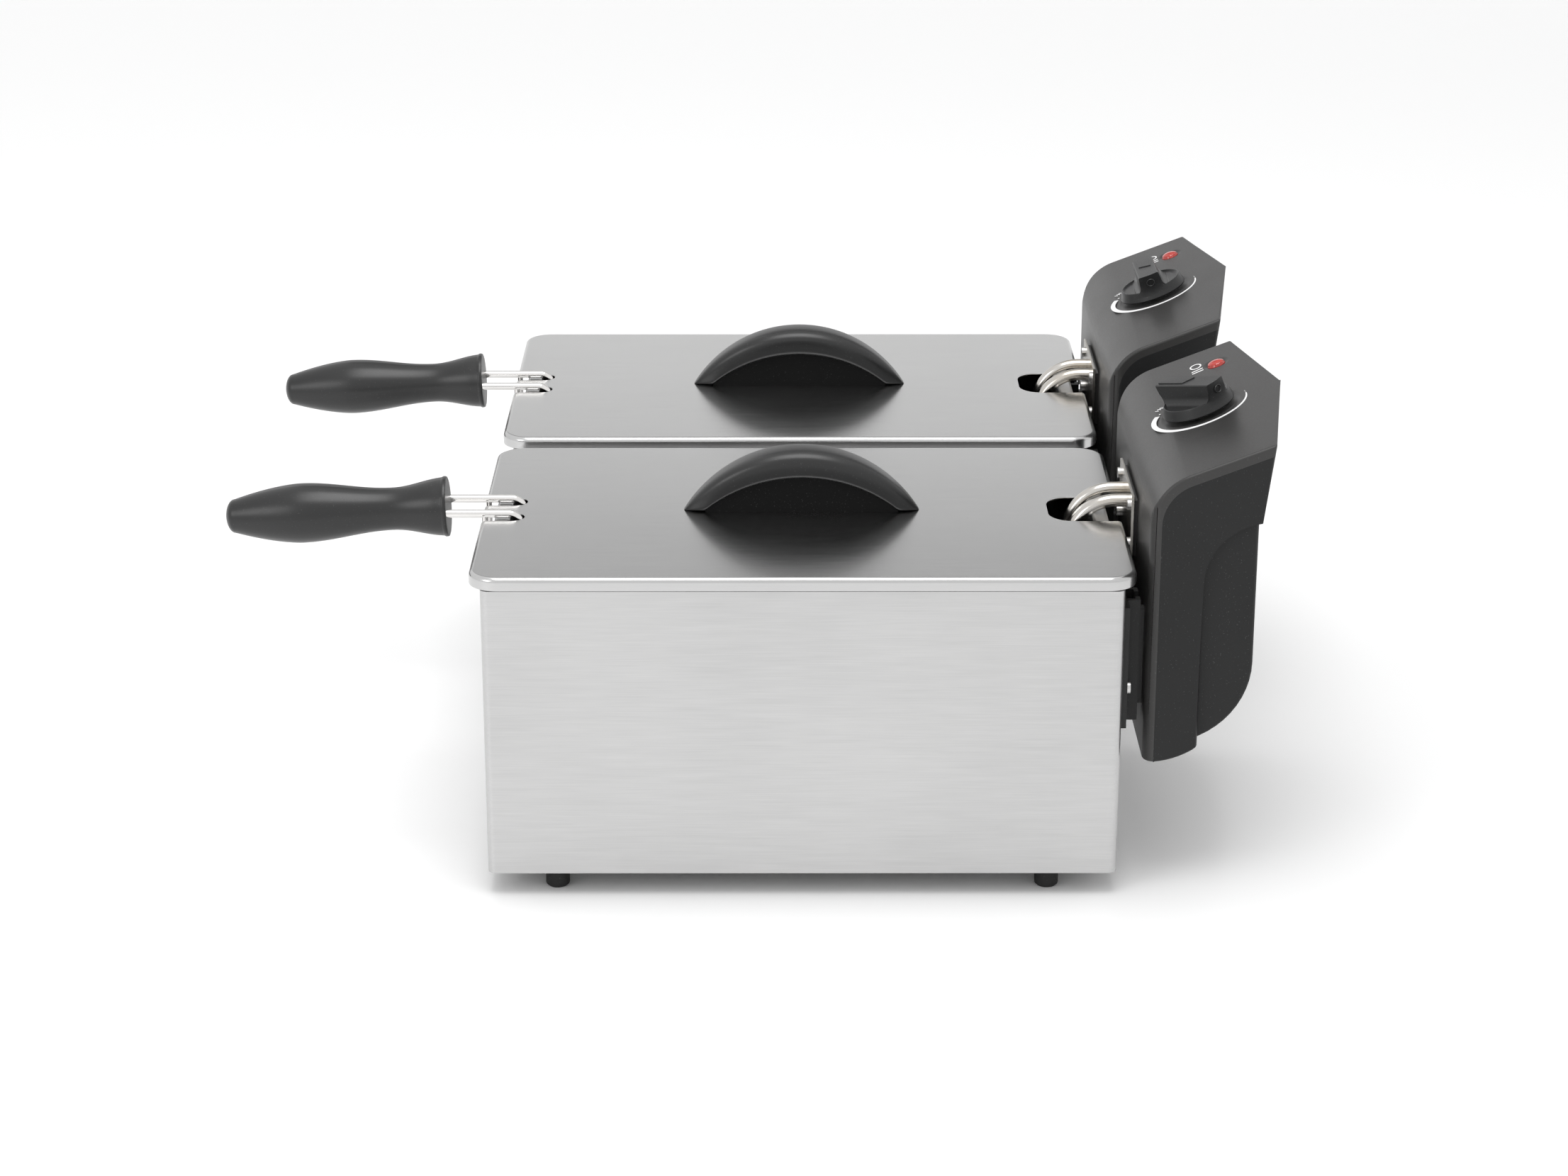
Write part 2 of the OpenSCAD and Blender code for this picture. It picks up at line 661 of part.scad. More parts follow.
module sensor_bulbs(side) {
    c = capillary_bend_r;
    bulb_end = riser_y - foot_bend_r - 8;
    color("silver") at_unit(side) both_sides() {
        bar_y([bulb_x, bulb_end - bulb_l, bulb_z], bulb_l, bulb_d);
        bar_y([bulb_x, bulb_end - eps, bulb_z], riser_y - foot_bend_r - bulb_end + eps, capillary_d);
        bend_yz([bulb_x, riser_y - foot_bend_r, bulb_z + foot_bend_r], foot_bend_r, capillary_d, 270, 90);
        bar_z([bulb_x, riser_y, bulb_z + foot_bend_r], capillary_z - c - bulb_z - foot_bend_r, capillary_d);
        bend_yz([bulb_x, riser_y + c, capillary_z - c], c, capillary_d, 90, 90);
        bar_y([bulb_x, riser_y + c, capillary_z], box_y + 12 - riser_y - c, capillary_d);
    }
}

// ---------------------------------------------------------------- control unit

// side outline of the column and hood, inset by t; the rear is cut later
function hood_outline(t) =
    let (far = box_d + 20,
         top = crown_end[1] + (far - crown_end[0]) * tan(slope) - t / cos(slope),
         br = bottom_r - t,
         bc = [2, box_bottom + bottom_r],
         rear = column_d - t)
    concat(
        [[t, box_bottom + t]],
        arc([crown_r, crown_centre], crown_r - t, 180, 90 + slope, 12),
        [[far, top], [far, hood_z + t]],
        arc([column_d + hood_curve_r, hood_z - hood_curve_r], hood_curve_r + t, 90, 180, 12),
        arc(bc, br, -acos((rear - bc[0]) / br), -90, 8));

// side outline of the rear lobe along its own half of the rear face, inset by t
function lobe_outline(t) = concat(
    [[t < eps ? 10 : t, lobe_bottom + t]],
    arc([lobe_d - lobe_r, lobe_bottom + lobe_r], lobe_r - t, -90, 0, 14),
    [[lobe_d - t, hood_z + 8], [t < eps ? 10 : t, hood_z + 8]]);

// stands a side outline up and extrudes it across x0 to x1
module across(x0, x1) translate([x0, 0, 0]) rotate([90, 0, 90]) linear_extrude(x1 - x0) children();

// turns each half about the centre line so that the rear comes to a shallow point
module rear_half(s)
    translate([0, box_d, 0]) rotate([0, 0, -s * chevron]) translate([0, -box_d, 0]) children();

module hood_body(t) {
    lean = tan(rear_lean);
    w = box_w / 2 - t;
    corner_x = box_w / 2 - case_corner_r;
    corner_r = max(case_corner_r - t, 1);
    intersection() {
        across(-w, w) polygon(hood_outline(t));
        translate([0, 0, box_bottom - 5]) linear_extrude(250) polygon(concat(
            arc([corner_x, case_corner_r], corner_r, -90, 0, 5), [[w, 200], [-w, 200]],
            arc([-corner_x, case_corner_r], corner_r, 180, 270, 5)));
        union() for (s = [-1, 1]) rear_half(s)
            across(s > 0 ? -0.2 : -box_w, s > 0 ? box_w : 0.2) polygon([
                [-60, 0], [box_d - t - (crown_centre + 38) * lean, 0],
                [box_d - t + 60 * lean, crown_centre + 98], [-60, crown_centre + 98]]);
    }
}

module lobe_body(t) {
    intersection() {
        union() for (s = [-1, 1]) rear_half(s)
            across(s > 0 ? -0.2 : -box_w, s > 0 ? box_w : 0.2) polygon(lobe_outline(t));
        translate([-lobe_w / 2 + t, 3 + t, 0]) cube([lobe_w - 2 * t, 200, 400]);
    }
}

module case_shell() {
    difference() {
        union() {
            hood_body(0);
            lobe_body(0);
        }
        hood_body(wall);
        lobe_body(wall);
    }
}

// everything behind the seam between the two shells
module behind_seam() {
    far = box_d + 60;
    top = crown_end[1] + (far - crown_end[0]) * tan(slope) - seam_d / cos(slope);
    across(-box_w, box_w) polygon(concat(
        [[seam_d, 0]], arc([crown_r, crown_centre], crown_r - seam_d, 180, 90 + slope, 12),
        [[far, top], [far, 0]]));
}

module at_box(side) translate([side * unit_x, box_y, 0]) children();

// frame on the sloping top: +Z stands square off it, at the knob's centre
module on_slope() translate([0, knob_v, knob_z]) rotate([slope, 0, 0]) children();

// frame on one half of the lobe's rear face: +Z points out of it
module on_rear(p) rear_half(sign(p[0])) translate([p[0], lobe_d, p[1]]) rotate([-90, 0, 0]) children();

module case_screw_places() for (x = [-case_screw_x, case_screw_x], z = case_screw_zs)
    translate([x, well_v, z]) rotate([90, 0, 0]) children();

module front_shell(side) {
    color("dimgray") at_box(side) difference() {
        union() {
            difference() {
                case_shell();
                behind_seam();
            }
            // pad behind the element's plate
            translate([-plate_w / 2 + 2, -plate_pad, plate_bottom])
                cube([plate_w - 4, plate_pad + eps, plate_top - plate_bottom - 3]);
            // tongues that slide down the guide rails
            for (x = [-rail_x, rail_x]) translate([x, 0, rail_bottom + rail_floor + 2]) {
                stem_w = mouth_w - 2 * rail_clear;
                head_w = channel_w - 2 * rail_clear;
                tongue_h = rail_top - rail_bottom - rail_floor - 8;
                translate([-stem_w / 2, channel_y1 - box_gap - 1, 0])
                    cube([stem_w, box_gap - channel_y1 + 1 + eps, tongue_h]);
                translate([-head_w / 2, channel_y0 + rail_clear - box_gap, 0])
                    cube([head_w, channel_y1 - channel_y0 - 2 * rail_clear, tongue_h]);
            }
            // bosses that the case screws bite into
            for (x = [-case_screw_x, case_screw_x], z = case_screw_zs)
                bar_y([x, wall - eps, z], well_v - wall - 4 + eps, 8);
        }
        for (x = [-leg_in, leg_in]) bar_y([x, -plate_pad - 5, tube_z], 20, tube_d + 1);
        for (x = [-bulb_x, bulb_x]) bar_y([x, -plate_pad - 5, capillary_z], 20, capillary_d + 1);
        translate([0, -box_y, 0]) plate_screw_places()
            translate([0, 0, -5]) cylinder(h = 20, d = plate_screw_d + 2 * slip, $fn = 32);
        on_slope() translate([0, 0, -20]) cylinder(h = 30, d = spindle_d + 1, $fn = 32);
        on_slope() translate([lens_pos[0], lens_pos[1], -10])
            cylinder(h = 20, d = lens_d + 2 * slip, $fn = 48);
        for (x = [-case_screw_x, case_screw_x], z = case_screw_zs)
            bar_y([x, wall + 4, z], 40, case_screw_d + 2 * slip);
    }
}

module rear_shell(side) {
    color("dimgray") at_box(side) difference() {
        union() {
            intersection() {
                case_shell();
                behind_seam();
            }
            // screw wells, open to the rear
            intersection() {
                union() {
                    hood_body(wall - 0.5);
                    lobe_body(wall - 0.5);
                }
                for (x = [-case_screw_x, case_screw_x], z = case_screw_zs)
                    bar_y([x, well_v - 3.5, z], 60, well_d + 3);
            }
        }
        for (x = [-case_screw_x, case_screw_x], z = case_screw_zs) {
            bar_y([x, well_v, z], 80, well_d);
            bar_y([x, well_v - 10, z], 20, case_screw_d + 2 * slip);
        }
        on_rear(gland_pos) translate([0, 0, -10])
            cylinder(h = 20, d = gland_out_d + 2 * slip, $fn = 48);
        on_rear(button_pos) translate([0, 0, -10])
            cylinder(h = 20, d = button_d + 2 * button_clear, $fn = 48);
    }
}

module case_screws(side) {
    color("silver") at_box(side) case_screw_places() screw(case_screw_d, 18, case_head_d, 2.4);
}

module thermostat(side) {
    bush_d = 11;
    body = [40, 34, 20];
    top = -wall - 0.2;
    color("tan") at_box(side) on_slope() difference() {
        union() {
            translate([0, 0, top - 8]) cylinder(h = 8, d = bush_d, $fn = 48);
            translate([-body[0] / 2, -body[1] / 2 + 1.5, top - 8 - body[2]]) cube(body);
        }
        translate([0, 0, top - 22]) cylinder(h = 30, d = spindle_d + 2 * running, $fn = 48);
    }
}

module spindle(side) {
    color("silver") at_box(side) on_slope() translate([0, 0, -wall - 20])
        cylinder(h = wall + 20 + knob_lift + 10, d = spindle_d, $fn = 48);
}

module knob(side) {
    turn = side > 0 ? knob_turn_right : knob_turn_left;
    r = knob_d / 2;
    top_r = r - knob_taper;
    half = knob_bar_w / 2;
    base_z = knob_lift + knob_base_h;
    top = knob_lift + knob_h;
    notch_w = 1.2;
    color("dimgray") at_box(side) on_slope() rotate([0, 0, turn]) difference() {
        union() {
            translate([0, 0, knob_lift])
                cylinder(h = knob_base_h, r1 = r, r2 = top_r, $fn = 64);
            // finger bar: its pointed end stands out past the base
            intersection() {
                translate([-2 * r, 0, 0]) rotate([90, 0, 90]) linear_extrude(4 * r) polygon([
                    [-half - 5, base_z - 1], [half + 5, base_z - 1], [half + 1, base_z + 3],
                    [half, top], [-half, top], [-half - 1, base_z + 3]]);
                rotate([90, 0, 0]) translate([0, 0, -r]) linear_extrude(2 * r) polygon([
                    [-r - knob_pointer_out, top], [-top_r, base_z - 1],
                    [top_r, base_z - 1], [r - 0.5, top]]);
                translate([0, 0, knob_lift]) cylinder(h = knob_h, r = r + knob_pointer_out, $fn = 64);
            }
        }
        // pointer notch on top of the bar
        translate([-r - 3, -notch_w / 2, top - 2]) cube([r, notch_w, 10]);
        cylinder(h = knob_lift + 10 + slip, d = spindle_d + 2 * slip, $fn = 48);
    }
}

module pilot_lens(side) {
    r = lens_d / 2;
    sag = 1.1;
    dome_r = (r * r + sag * sag) / (2 * sag);
    color("red") at_box(side) on_slope() translate([lens_pos[0], lens_pos[1], 0])
        rotate_extrude($fn = 48) polygon(concat(
            [[0, -7], [r, -7]], arc([0, sag - dome_r + 0.3], dome_r, 90 - asin(r / dome_r), 90, 8)));
}

module thermal_cutout(side) {
    stem_end = -button_travel - 3;
    color("tan") at_box(side) on_rear(button_pos)
        translate([-12, -12, stem_end - 16 - wall]) cube([24, 24, 12]);
}

module reset_button(side) {
    color("firebrick") at_box(side) on_rear(button_pos) {
        translate([0, 0, -wall - 1]) cylinder(h = wall + 1 + button_stand, d = button_d, $fn = 48);
        translate([0, 0, -wall - 3]) cylinder(h = 2 + eps, d = button_d + 3, $fn = 48);
    }
}

module cable_gland(side) {
    collar_h = 2.5;
    cone_h = 4;
    color("black") at_box(side) on_rear(gland_pos) difference() {
        union() {
            translate([0, 0, -wall - 3]) cylinder(h = wall + 3 + 1, d = gland_out_d, $fn = 48);
            cylinder(h = collar_h, d = gland_out_d + 4, $fn = 48);
            translate([0, 0, collar_h - eps])
                cylinder(h = cone_h, d1 = gland_out_d + 1, d2 = gland_out_d - 1, $fn = 48);
        }
        translate([0, 0, -20]) cylinder(h = 40, d = gland_bore_d, $fn = 48);
    }
}

module terminal_block(side) {
    size = [44, 16, 14];
    color("ivory") at_box(side) translate([-size[0] / 2, wall, box_bottom + 14]) difference() {
        cube(size);
        for (i = [0:3]) translate([5.5 + 11 * i, size[1] / 2, 4]) cylinder(h = 20, d = 4, $fn = 24);
    }
}

module microswitch(side) {
    color("black") at_box(side) translate([-48, wall, box_bottom + 52]) {
        cube([20, 10, 16]);
        translate([4, 3, 16 - eps]) cube([12, 4, 2.5]);
    }
}

outer_shell();
top_deck();
base_plate();
feet();
foot_screws();
guide_rails();
guide_screws();
oil_tank(1);  // oil_tank_right
oil_tank(-1);  // oil_tank_left
lid(1);  // lid_right
lid(-1);  // lid_left
lid_handle(1);  // lid_handle_right
lid_handle(-1);  // lid_handle_left
lid_screws(1);  // lid_screws_right
lid_screws(-1);  // lid_screws_left
basket(1);  // basket_right
basket(-1);  // basket_left
basket_frame(1);  // basket_frame_right
basket_frame(-1);  // basket_frame_left
handle_wires(1);  // handle_wires_right
handle_wires(-1);  // handle_wires_left
handle_grip(1);  // handle_grip_right
handle_grip(-1);  // handle_grip_left
heating_element(1);  // heating_element_right
heating_element(-1);  // heating_element_left
element_clamps(1);  // element_clamps_right
element_clamps(-1);  // element_clamps_left
element_plate(1);  // element_plate_right
element_plate(-1);  // element_plate_left
plate_screws(1);  // plate_screws_right
plate_screws(-1);  // plate_screws_left
sensor_bulbs(1);  // sensor_bulbs_right
sensor_bulbs(-1);  // sensor_bulbs_left
front_shell(1);  // front_shell_right
front_shell(-1);  // front_shell_left
rear_shell(1);  // rear_shell_right
rear_shell(-1);  // rear_shell_left
case_screws(1);  // case_screws_right
case_screws(-1);  // case_screws_left
thermostat(1);  // thermostat_right
thermostat(-1);  // thermostat_left
thermal_cutout(1);  // thermal_cutout_right
thermal_cutout(-1);  // thermal_cutout_left
terminal_block(1);  // terminal_block_right
terminal_block(-1);  // terminal_block_left
microswitch(1);  // microswitch_right
microswitch(-1);  // microswitch_left
pilot_lens(1);  // pilot_lens_right
pilot_lens(-1);  // pilot_lens_left
cable_gland(1);  // cable_gland_right
cable_gland(-1);  // cable_gland_left
spindle(1);  // spindle_right
spindle(-1);  // spindle_left
knob(1);  // knob_right
knob(-1);  // knob_left
reset_button(1);  // reset_button_right
reset_button(-1);  // reset_button_left
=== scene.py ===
"""A double deep fryer on a worktop: steel housing, two oil tanks with lids and wire
baskets on long handles, and two lift-out control units with heating elements."""
import json
import math

import bmesh
import bpy
from mathutils import Matrix, Vector


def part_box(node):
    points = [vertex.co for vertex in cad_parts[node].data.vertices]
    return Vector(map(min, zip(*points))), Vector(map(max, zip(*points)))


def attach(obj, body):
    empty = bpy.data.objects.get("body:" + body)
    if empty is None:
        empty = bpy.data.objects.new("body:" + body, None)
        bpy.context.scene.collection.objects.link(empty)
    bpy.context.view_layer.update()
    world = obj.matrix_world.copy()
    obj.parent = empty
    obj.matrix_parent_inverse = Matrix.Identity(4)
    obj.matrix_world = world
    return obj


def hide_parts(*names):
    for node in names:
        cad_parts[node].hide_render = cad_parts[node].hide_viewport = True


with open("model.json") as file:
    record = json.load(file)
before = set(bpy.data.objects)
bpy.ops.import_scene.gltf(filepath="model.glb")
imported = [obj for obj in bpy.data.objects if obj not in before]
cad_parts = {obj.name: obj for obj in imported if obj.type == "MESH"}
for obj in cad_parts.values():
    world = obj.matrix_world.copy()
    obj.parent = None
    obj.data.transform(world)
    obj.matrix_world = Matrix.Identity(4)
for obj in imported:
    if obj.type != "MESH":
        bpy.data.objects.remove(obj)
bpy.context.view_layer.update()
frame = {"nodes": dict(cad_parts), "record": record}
MM = 0.001
SIDES = ("right", "left")


# ------------------------------------------------------------------ housing
# The housing is one strip of stainless steel, folded round the body and brushed
# along its length. Its lower edge is hemmed inwards. The deck and the base plate
# are pressed sheets that stand inside it.


class Reading:
    """One output of a shader node, so that sums on it read as plain expressions."""

    def __init__(self, finish, socket):
        self.finish = finish
        self.socket = socket

    def work(self, operation, first, second):
        return self.finish.node("ShaderNodeMath", {"operation": operation}, {0: first, 1: second})

    def __add__(self, other):
        return self.work("ADD", self, other)

    def __radd__(self, other):
        return self.work("ADD", other, self)

    def __sub__(self, other):
        return self.work("SUBTRACT", self, other)

    def __rsub__(self, other):
        return self.work("SUBTRACT", other, self)

    def __mul__(self, other):
        return self.work("MULTIPLY", self, other)

    def __rmul__(self, other):
        return self.work("MULTIPLY", other, self)

    def within(self, low, high):
        return self.finish.node("ShaderNodeMapRange", {"clamp": True}, {0: self, 1: low, 2: high})


class Finish:
    """A material with one surface shader. Constants sit on the shader's own sockets."""

    def __init__(self, name, **constants):
        self.material = bpy.data.materials.new(name)
        self.material.use_nodes = True
        self.tree = self.material.node_tree
        self.shader = self.tree.nodes["Principled BSDF"]
        self.feed(**constants)

    def node(self, kind, settings, sockets, output=0):
        made = self.tree.nodes.new(kind)
        for key, value in settings.items():
            setattr(made, key, value)
        for key, value in sockets.items():
            if isinstance(value, Reading):
                self.tree.links.new(value.socket, made.inputs[key])
            else:
                made.inputs[key].default_value = value
        return Reading(self, made.outputs[output])

    def feed(self, **sockets):
        for key, value in sockets.items():
            socket = self.shader.inputs[key.replace("_", " ").title()]
            if isinstance(value, Reading):
                self.tree.links.new(value.socket, socket)
            else:
                socket.default_value = value

    def speckle(self, scale, detail=4.0, stretch=(1, 1, 1)):
        """Noise in the piece's own space, stretched along the axes with small factors."""
        place = self.node("ShaderNodeTexCoord", {}, {}, "Object")
        place = self.node("ShaderNodeMapping", {}, {"Vector": place, "Scale": stretch})
        return self.node("ShaderNodeTexNoise", {}, {"Vector": place, "Scale": scale, "Detail": detail}, "Fac")

    def blend(self, share, first, second):
        return self.node("ShaderNodeMix", {"data_type": "RGBA"}, {0: share, 6: first, 7: second}, 2)

    def relief(self, height, strength, distance):
        return self.node("ShaderNodeBump", {}, {"Strength": strength, "Distance": distance, "Height": height})


def grey(level, warm=0.0):
    return (level * (1 + warm), level, level * (1 - warm), 1.0)


def brushed(name, dark, light, roughness, along, grain=0.25):
    """Stainless steel, brushed along one axis, with faint long clouds and wipe marks."""
    finish = Finish(name, metallic=1.0)
    fine = tuple(0.012 if axis == along else 1.0 for axis in "xyz")
    coarse = tuple(0.08 if axis == along else 1.0 for axis in "xyz")
    lines = finish.speckle(2600.0, 2.0, fine)
    bands = finish.speckle(420.0, 3.0, coarse)
    clouds = finish.speckle(9.0, 3.0)
    share = (lines * 0.5 + bands * 0.3 + clouds * 0.5 - 0.25).within(0.1, 0.75)
    finish.feed(
        base_color=finish.blend(share, grey(dark), grey(light, 0.003)),
        roughness=lines * 0.12 + clouds * 0.1 + (roughness - 0.11),
        normal=finish.relief(lines * 0.7 + bands * 0.3, grain, 0.00004),
    )
    return finish.material


def round_outline(width, length, radius, steps=10, centre=(0.0, 0.0)):
    """Outline of a rectangle with round corners, anticlockwise from its +X side."""
    points = []
    for turn, (sx, sy) in enumerate(((1, 1), (-1, 1), (-1, -1), (1, -1))):
        for step in range(steps + 1):
            angle = math.radians(90 * turn + 90 * step / steps)
            points.append((
                centre[0] + sx * (width / 2 - radius) + radius * math.cos(angle),
                centre[1] + sy * (length / 2 - radius) + radius * math.sin(angle),
            ))
    return points


def band(made, first, second):
    """Faces all the way round between two rings of corners."""
    for i in range(len(first)):
        j = (i + 1) % len(first)
        made.faces.new((first[i], first[j], second[j], second[i]))


def loft(name, rings, closed_round=False):
    """Skin over rings of points that all have the same count, from first to last."""
    made = bmesh.new()
    rows = [[made.verts.new(point) for point in ring] for ring in rings]
    pairs = list(zip(rows, rows[1:]))
    if closed_round:
        pairs.append((rows[-1], rows[0]))
    else:
        made.faces.new(rows[0][::-1])
        made.faces.new(rows[-1])
    for first, second in pairs:
        band(made, first, second)
    bmesh.ops.recalc_face_normals(made, faces=made.faces)
    return shown(name, made)


def shown(name, made, sharp=35.0):
    """Turns finished bmesh work into an object with smooth faces and crisp corners."""
    mesh = bpy.data.meshes.new(name)
    made.to_mesh(mesh)
    made.free()
    return smoothed(place(name, mesh), sharp)


def place(name, mesh):
    piece = bpy.data.objects.new(name, mesh)
    bpy.context.scene.collection.objects.link(piece)
    return piece


def smoothed(piece, sharp=35.0):
    """Shades a piece smooth, with crisp edges past an angle and true flats."""
    piece.data.shade_smooth()
    piece.data.set_sharp_from_angle(angle=math.radians(sharp))
    flats = piece.modifiers.new("flats", "WEIGHTED_NORMAL")
    flats.keep_sharp = True
    return settled(piece)


def settled(piece):
    """Makes what a piece's modifiers give its plain mesh, and drops the modifiers."""
    ready = piece.evaluated_get(bpy.context.evaluated_depsgraph_get())
    mesh = bpy.data.meshes.new_from_object(ready)
    piece.modifiers.clear()
    piece.data = mesh
    return piece


def finished(piece, material, body, *nodes, slot=None):
    """Gives a piece its material, its body, and the CAD nodes that it stands for."""
    piece.data.materials.clear()
    piece.data.materials.append(material)
    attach(piece, body)
    if nodes:
        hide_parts(*nodes)
    return piece


def repaint(material, *nodes):
    """Gives CAD nodes that already have the right shape their material."""
    for node in nodes:
        mesh = frame["nodes"][node].data
        mesh.materials.clear()
        mesh.materials.append(material)


side_steel = brushed("side_steel", 0.47, 0.60, 0.36, "y", 0.35)
front_steel = brushed("front_steel", 0.47, 0.60, 0.36, "x", 0.35)
deck_steel = brushed("deck_steel", 0.45, 0.56, 0.34, "x")
base_steel = Finish("base_steel", metallic=1.0)
spangle = base_steel.speckle(160.0, 2.0)
base_steel.feed(
    base_color=base_steel.blend(spangle, grey(0.34), grey(0.48)),
    roughness=spangle * 0.3 + 0.35,
)

shell_low, shell_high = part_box("outer_shell")
sheet = 1.0 * MM
hem = 6.0 * MM
corner = 4.0 * MM
width = shell_high.x - shell_low.x
depth = shell_high.y - shell_low.y


def housing_ring(inset, height):
    outline = round_outline(width - 2 * inset, depth - 2 * inset, max(corner - inset, 0.5 * MM))
    return [(x, y, height) for x, y in outline]


edge = 0.35 * MM
housing = loft("housing_panel", [
    housing_ring(sheet, shell_high.z),
    housing_ring(edge, shell_high.z),
    housing_ring(0, shell_high.z - edge),
    housing_ring(0, shell_low.z + 2 * edge),
    housing_ring(edge * 0.6, shell_low.z + edge * 0.6),
    housing_ring(2 * edge, shell_low.z),
    housing_ring(hem, shell_low.z),
    housing_ring(hem, shell_low.z + sheet * 0.9),
    housing_ring(sheet, shell_low.z + sheet),
], closed_round=True)
finished(housing, side_steel, "housing", "outer_shell", slot="housing_steel")
housing.data.materials.append(front_steel)
for face in housing.data.polygons:
    if abs(face.normal.y) > 0.75:
        face.material_index = 1
repaint(deck_steel, "top_deck")
repaint(base_steel.material, "base_plate")


# ------------------------------------------------------------------ feet and rails
# Four black rubber feet, each held by a screw up its middle, and the moulded rails
# on the rear wall that the control units slide into.


def lathe(name, profile, steps=48):
    """Turns a profile of (radius, height) round Z. It starts and ends on the axis."""
    made = bmesh.new()
    low_pole, high_pole = (made.verts.new((0, 0, h)) for h in (profile[0][1], profile[-1][1]))
    rows = []
    for radius, height in profile[1:-1]:
        rows.append([
            made.verts.new((
                radius * math.cos(math.tau * i / steps),
                radius * math.sin(math.tau * i / steps),
                height,
            ))
            for i in range(steps)
        ])
    for i in range(steps):
        j = (i + 1) % steps
        made.faces.new((low_pole, rows[0][j], rows[0][i]))
        made.faces.new((high_pole, rows[-1][i], rows[-1][j]))
        for first, second in zip(rows, rows[1:]):
            made.faces.new((first[i], first[j], second[j], second[i]))
    bmesh.ops.recalc_face_normals(made, faces=made.faces)
    return shown(name, made)


def moulded(name, level, warm, roughness, grain, scale=900.0, gloss=0.3):
    """Moulded plastic or rubber: fine leathery grain, faint scuffs and dust."""
    finish = Finish(name)
    finish.shader.inputs["Specular IOR Level"].default_value = gloss
    pores = finish.speckle(scale, 3.0)
    scuffs = finish.speckle(22.0, 5.0)
    dust = finish.speckle(1400.0, 0.0).within(0.76, 0.8)
    shade = finish.blend(scuffs.within(0.3, 0.75), grey(level * 0.88, warm), grey(level * 1.15, warm))
    finish.feed(
        base_color=finish.blend(dust * 0.05, shade, grey(0.4)),
        roughness=pores * 0.1 + scuffs * 0.14 + (roughness - 0.12),
        normal=finish.relief(pores, grain, 0.00006),
    )
    return finish.material


def grown(piece, name, inputs, kinds, wires):
    """Shapes a piece with a Geometry Nodes tree, which ends in real and painted copies."""
    tree = bpy.data.node_groups.new(name, "GeometryNodeTree")
    socket = tree.interface.new_socket
    socket("Geometry", in_out="INPUT", socket_type="NodeSocketGeometry")
    chosen = {
        socket(label, in_out="INPUT", socket_type="NodeSocket" + kind).identifier: value
        for label, (kind, value) in inputs.items()
    }
    socket("Geometry", in_out="OUTPUT", socket_type="NodeSocketGeometry")
    kinds = {
        "start": "NodeGroupInput", **kinds, "real": "GeometryNodeRealizeInstances",
        "paint": "GeometryNodeSetMaterial", "end": "NodeGroupOutput",
    }
    nodes = {label: tree.nodes.new(kind) for label, kind in kinds.items()}
    wires = wires + [
        ("real", "Geometry", "paint", "Geometry"), ("start", "Material", "paint", "Material"),
        ("paint", "Geometry", "end", "Geometry"),
    ]
    for giver, output, taker, entry in wires:
        tree.links.new(nodes[giver].outputs[output], nodes[taker].inputs[entry])
    maker = piece.modifiers.new(name, "NODES")
    maker.node_group = tree
    for key, value in chosen.items():
        maker[key] = value
    return settled(piece)


def repeated(name, piece, spots, material):
    """Stands a copy of a small piece on each spot, as one mesh."""
    points = bpy.data.meshes.new(name)
    points.from_pydata(spots, [], [])
    stand = grown(place(name, points), name + "_copies", {
        "Piece": ("Object", piece), "Material": ("Material", material),
    }, {"info": "GeometryNodeObjectInfo", "copies": "GeometryNodeInstanceOnPoints"}, [
        ("start", "Geometry", "copies", "Points"), ("start", "Piece", "info", "Object"),
        ("info", "Geometry", "copies", "Instance"), ("copies", "Instances", "real", "Geometry"),
    ])
    bpy.data.objects.remove(piece)
    return smoothed(stand)


foot_rubber = moulded("foot_rubber", 0.016, 0.0, 0.6, 0.3)
rail_plastic = moulded("rail_plastic", 0.018, 0.0, 0.5, 0.25)
feet_low, feet_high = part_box("feet")
foot_r = 6.5 * MM
foot_top = feet_high.z
flange = 3.0 * MM
neck = foot_r - 0.75 * MM
profile = [(0, 6 * MM), (3.6 * MM, 6 * MM), (3.6 * MM, 0.3 * MM), (3.9 * MM, 0), (neck - 1.2 * MM, 0)]
profile += [(neck - 0.2 * MM, 1.0 * MM), (neck, 1.6 * MM), (neck, foot_top - flange - 0.2 * MM)]
profile += [(foot_r - 0.3 * MM, foot_top - flange), (foot_r, foot_top - flange + 0.3 * MM)]
profile += [(foot_r, foot_top), (0, foot_top)]
spots = [
    (x, y, 0)
    for x in (feet_low.x + foot_r, feet_high.x - foot_r)
    for y in (feet_low.y + foot_r, feet_high.y - foot_r)
]
rubber_feet = repeated("rubber_feet", lathe("foot", profile), spots, foot_rubber)
finished(rubber_feet, foot_rubber, "housing", "feet", slot="foot_rubber")
repaint(rail_plastic, "guide_rails")

zinc = Finish("zinc_screw", metallic=1.0)
patina = zinc.speckle(700.0, 3.0)
zinc.feed(
    base_color=zinc.blend(patina, grey(0.46), grey(0.66, 0.02)),
    roughness=patina * 0.25 + 0.18,
    normal=zinc.relief(patina, 0.15, 0.00003),
)
repaint(zinc.material, "foot_screws", "guide_screws")


# ------------------------------------------------------------------ oil tanks
# Each tank is deep-drawn from one stainless sheet, with a wide rim that rests on the
# deck. Drawing leaves it satin, with the brushing running round it.

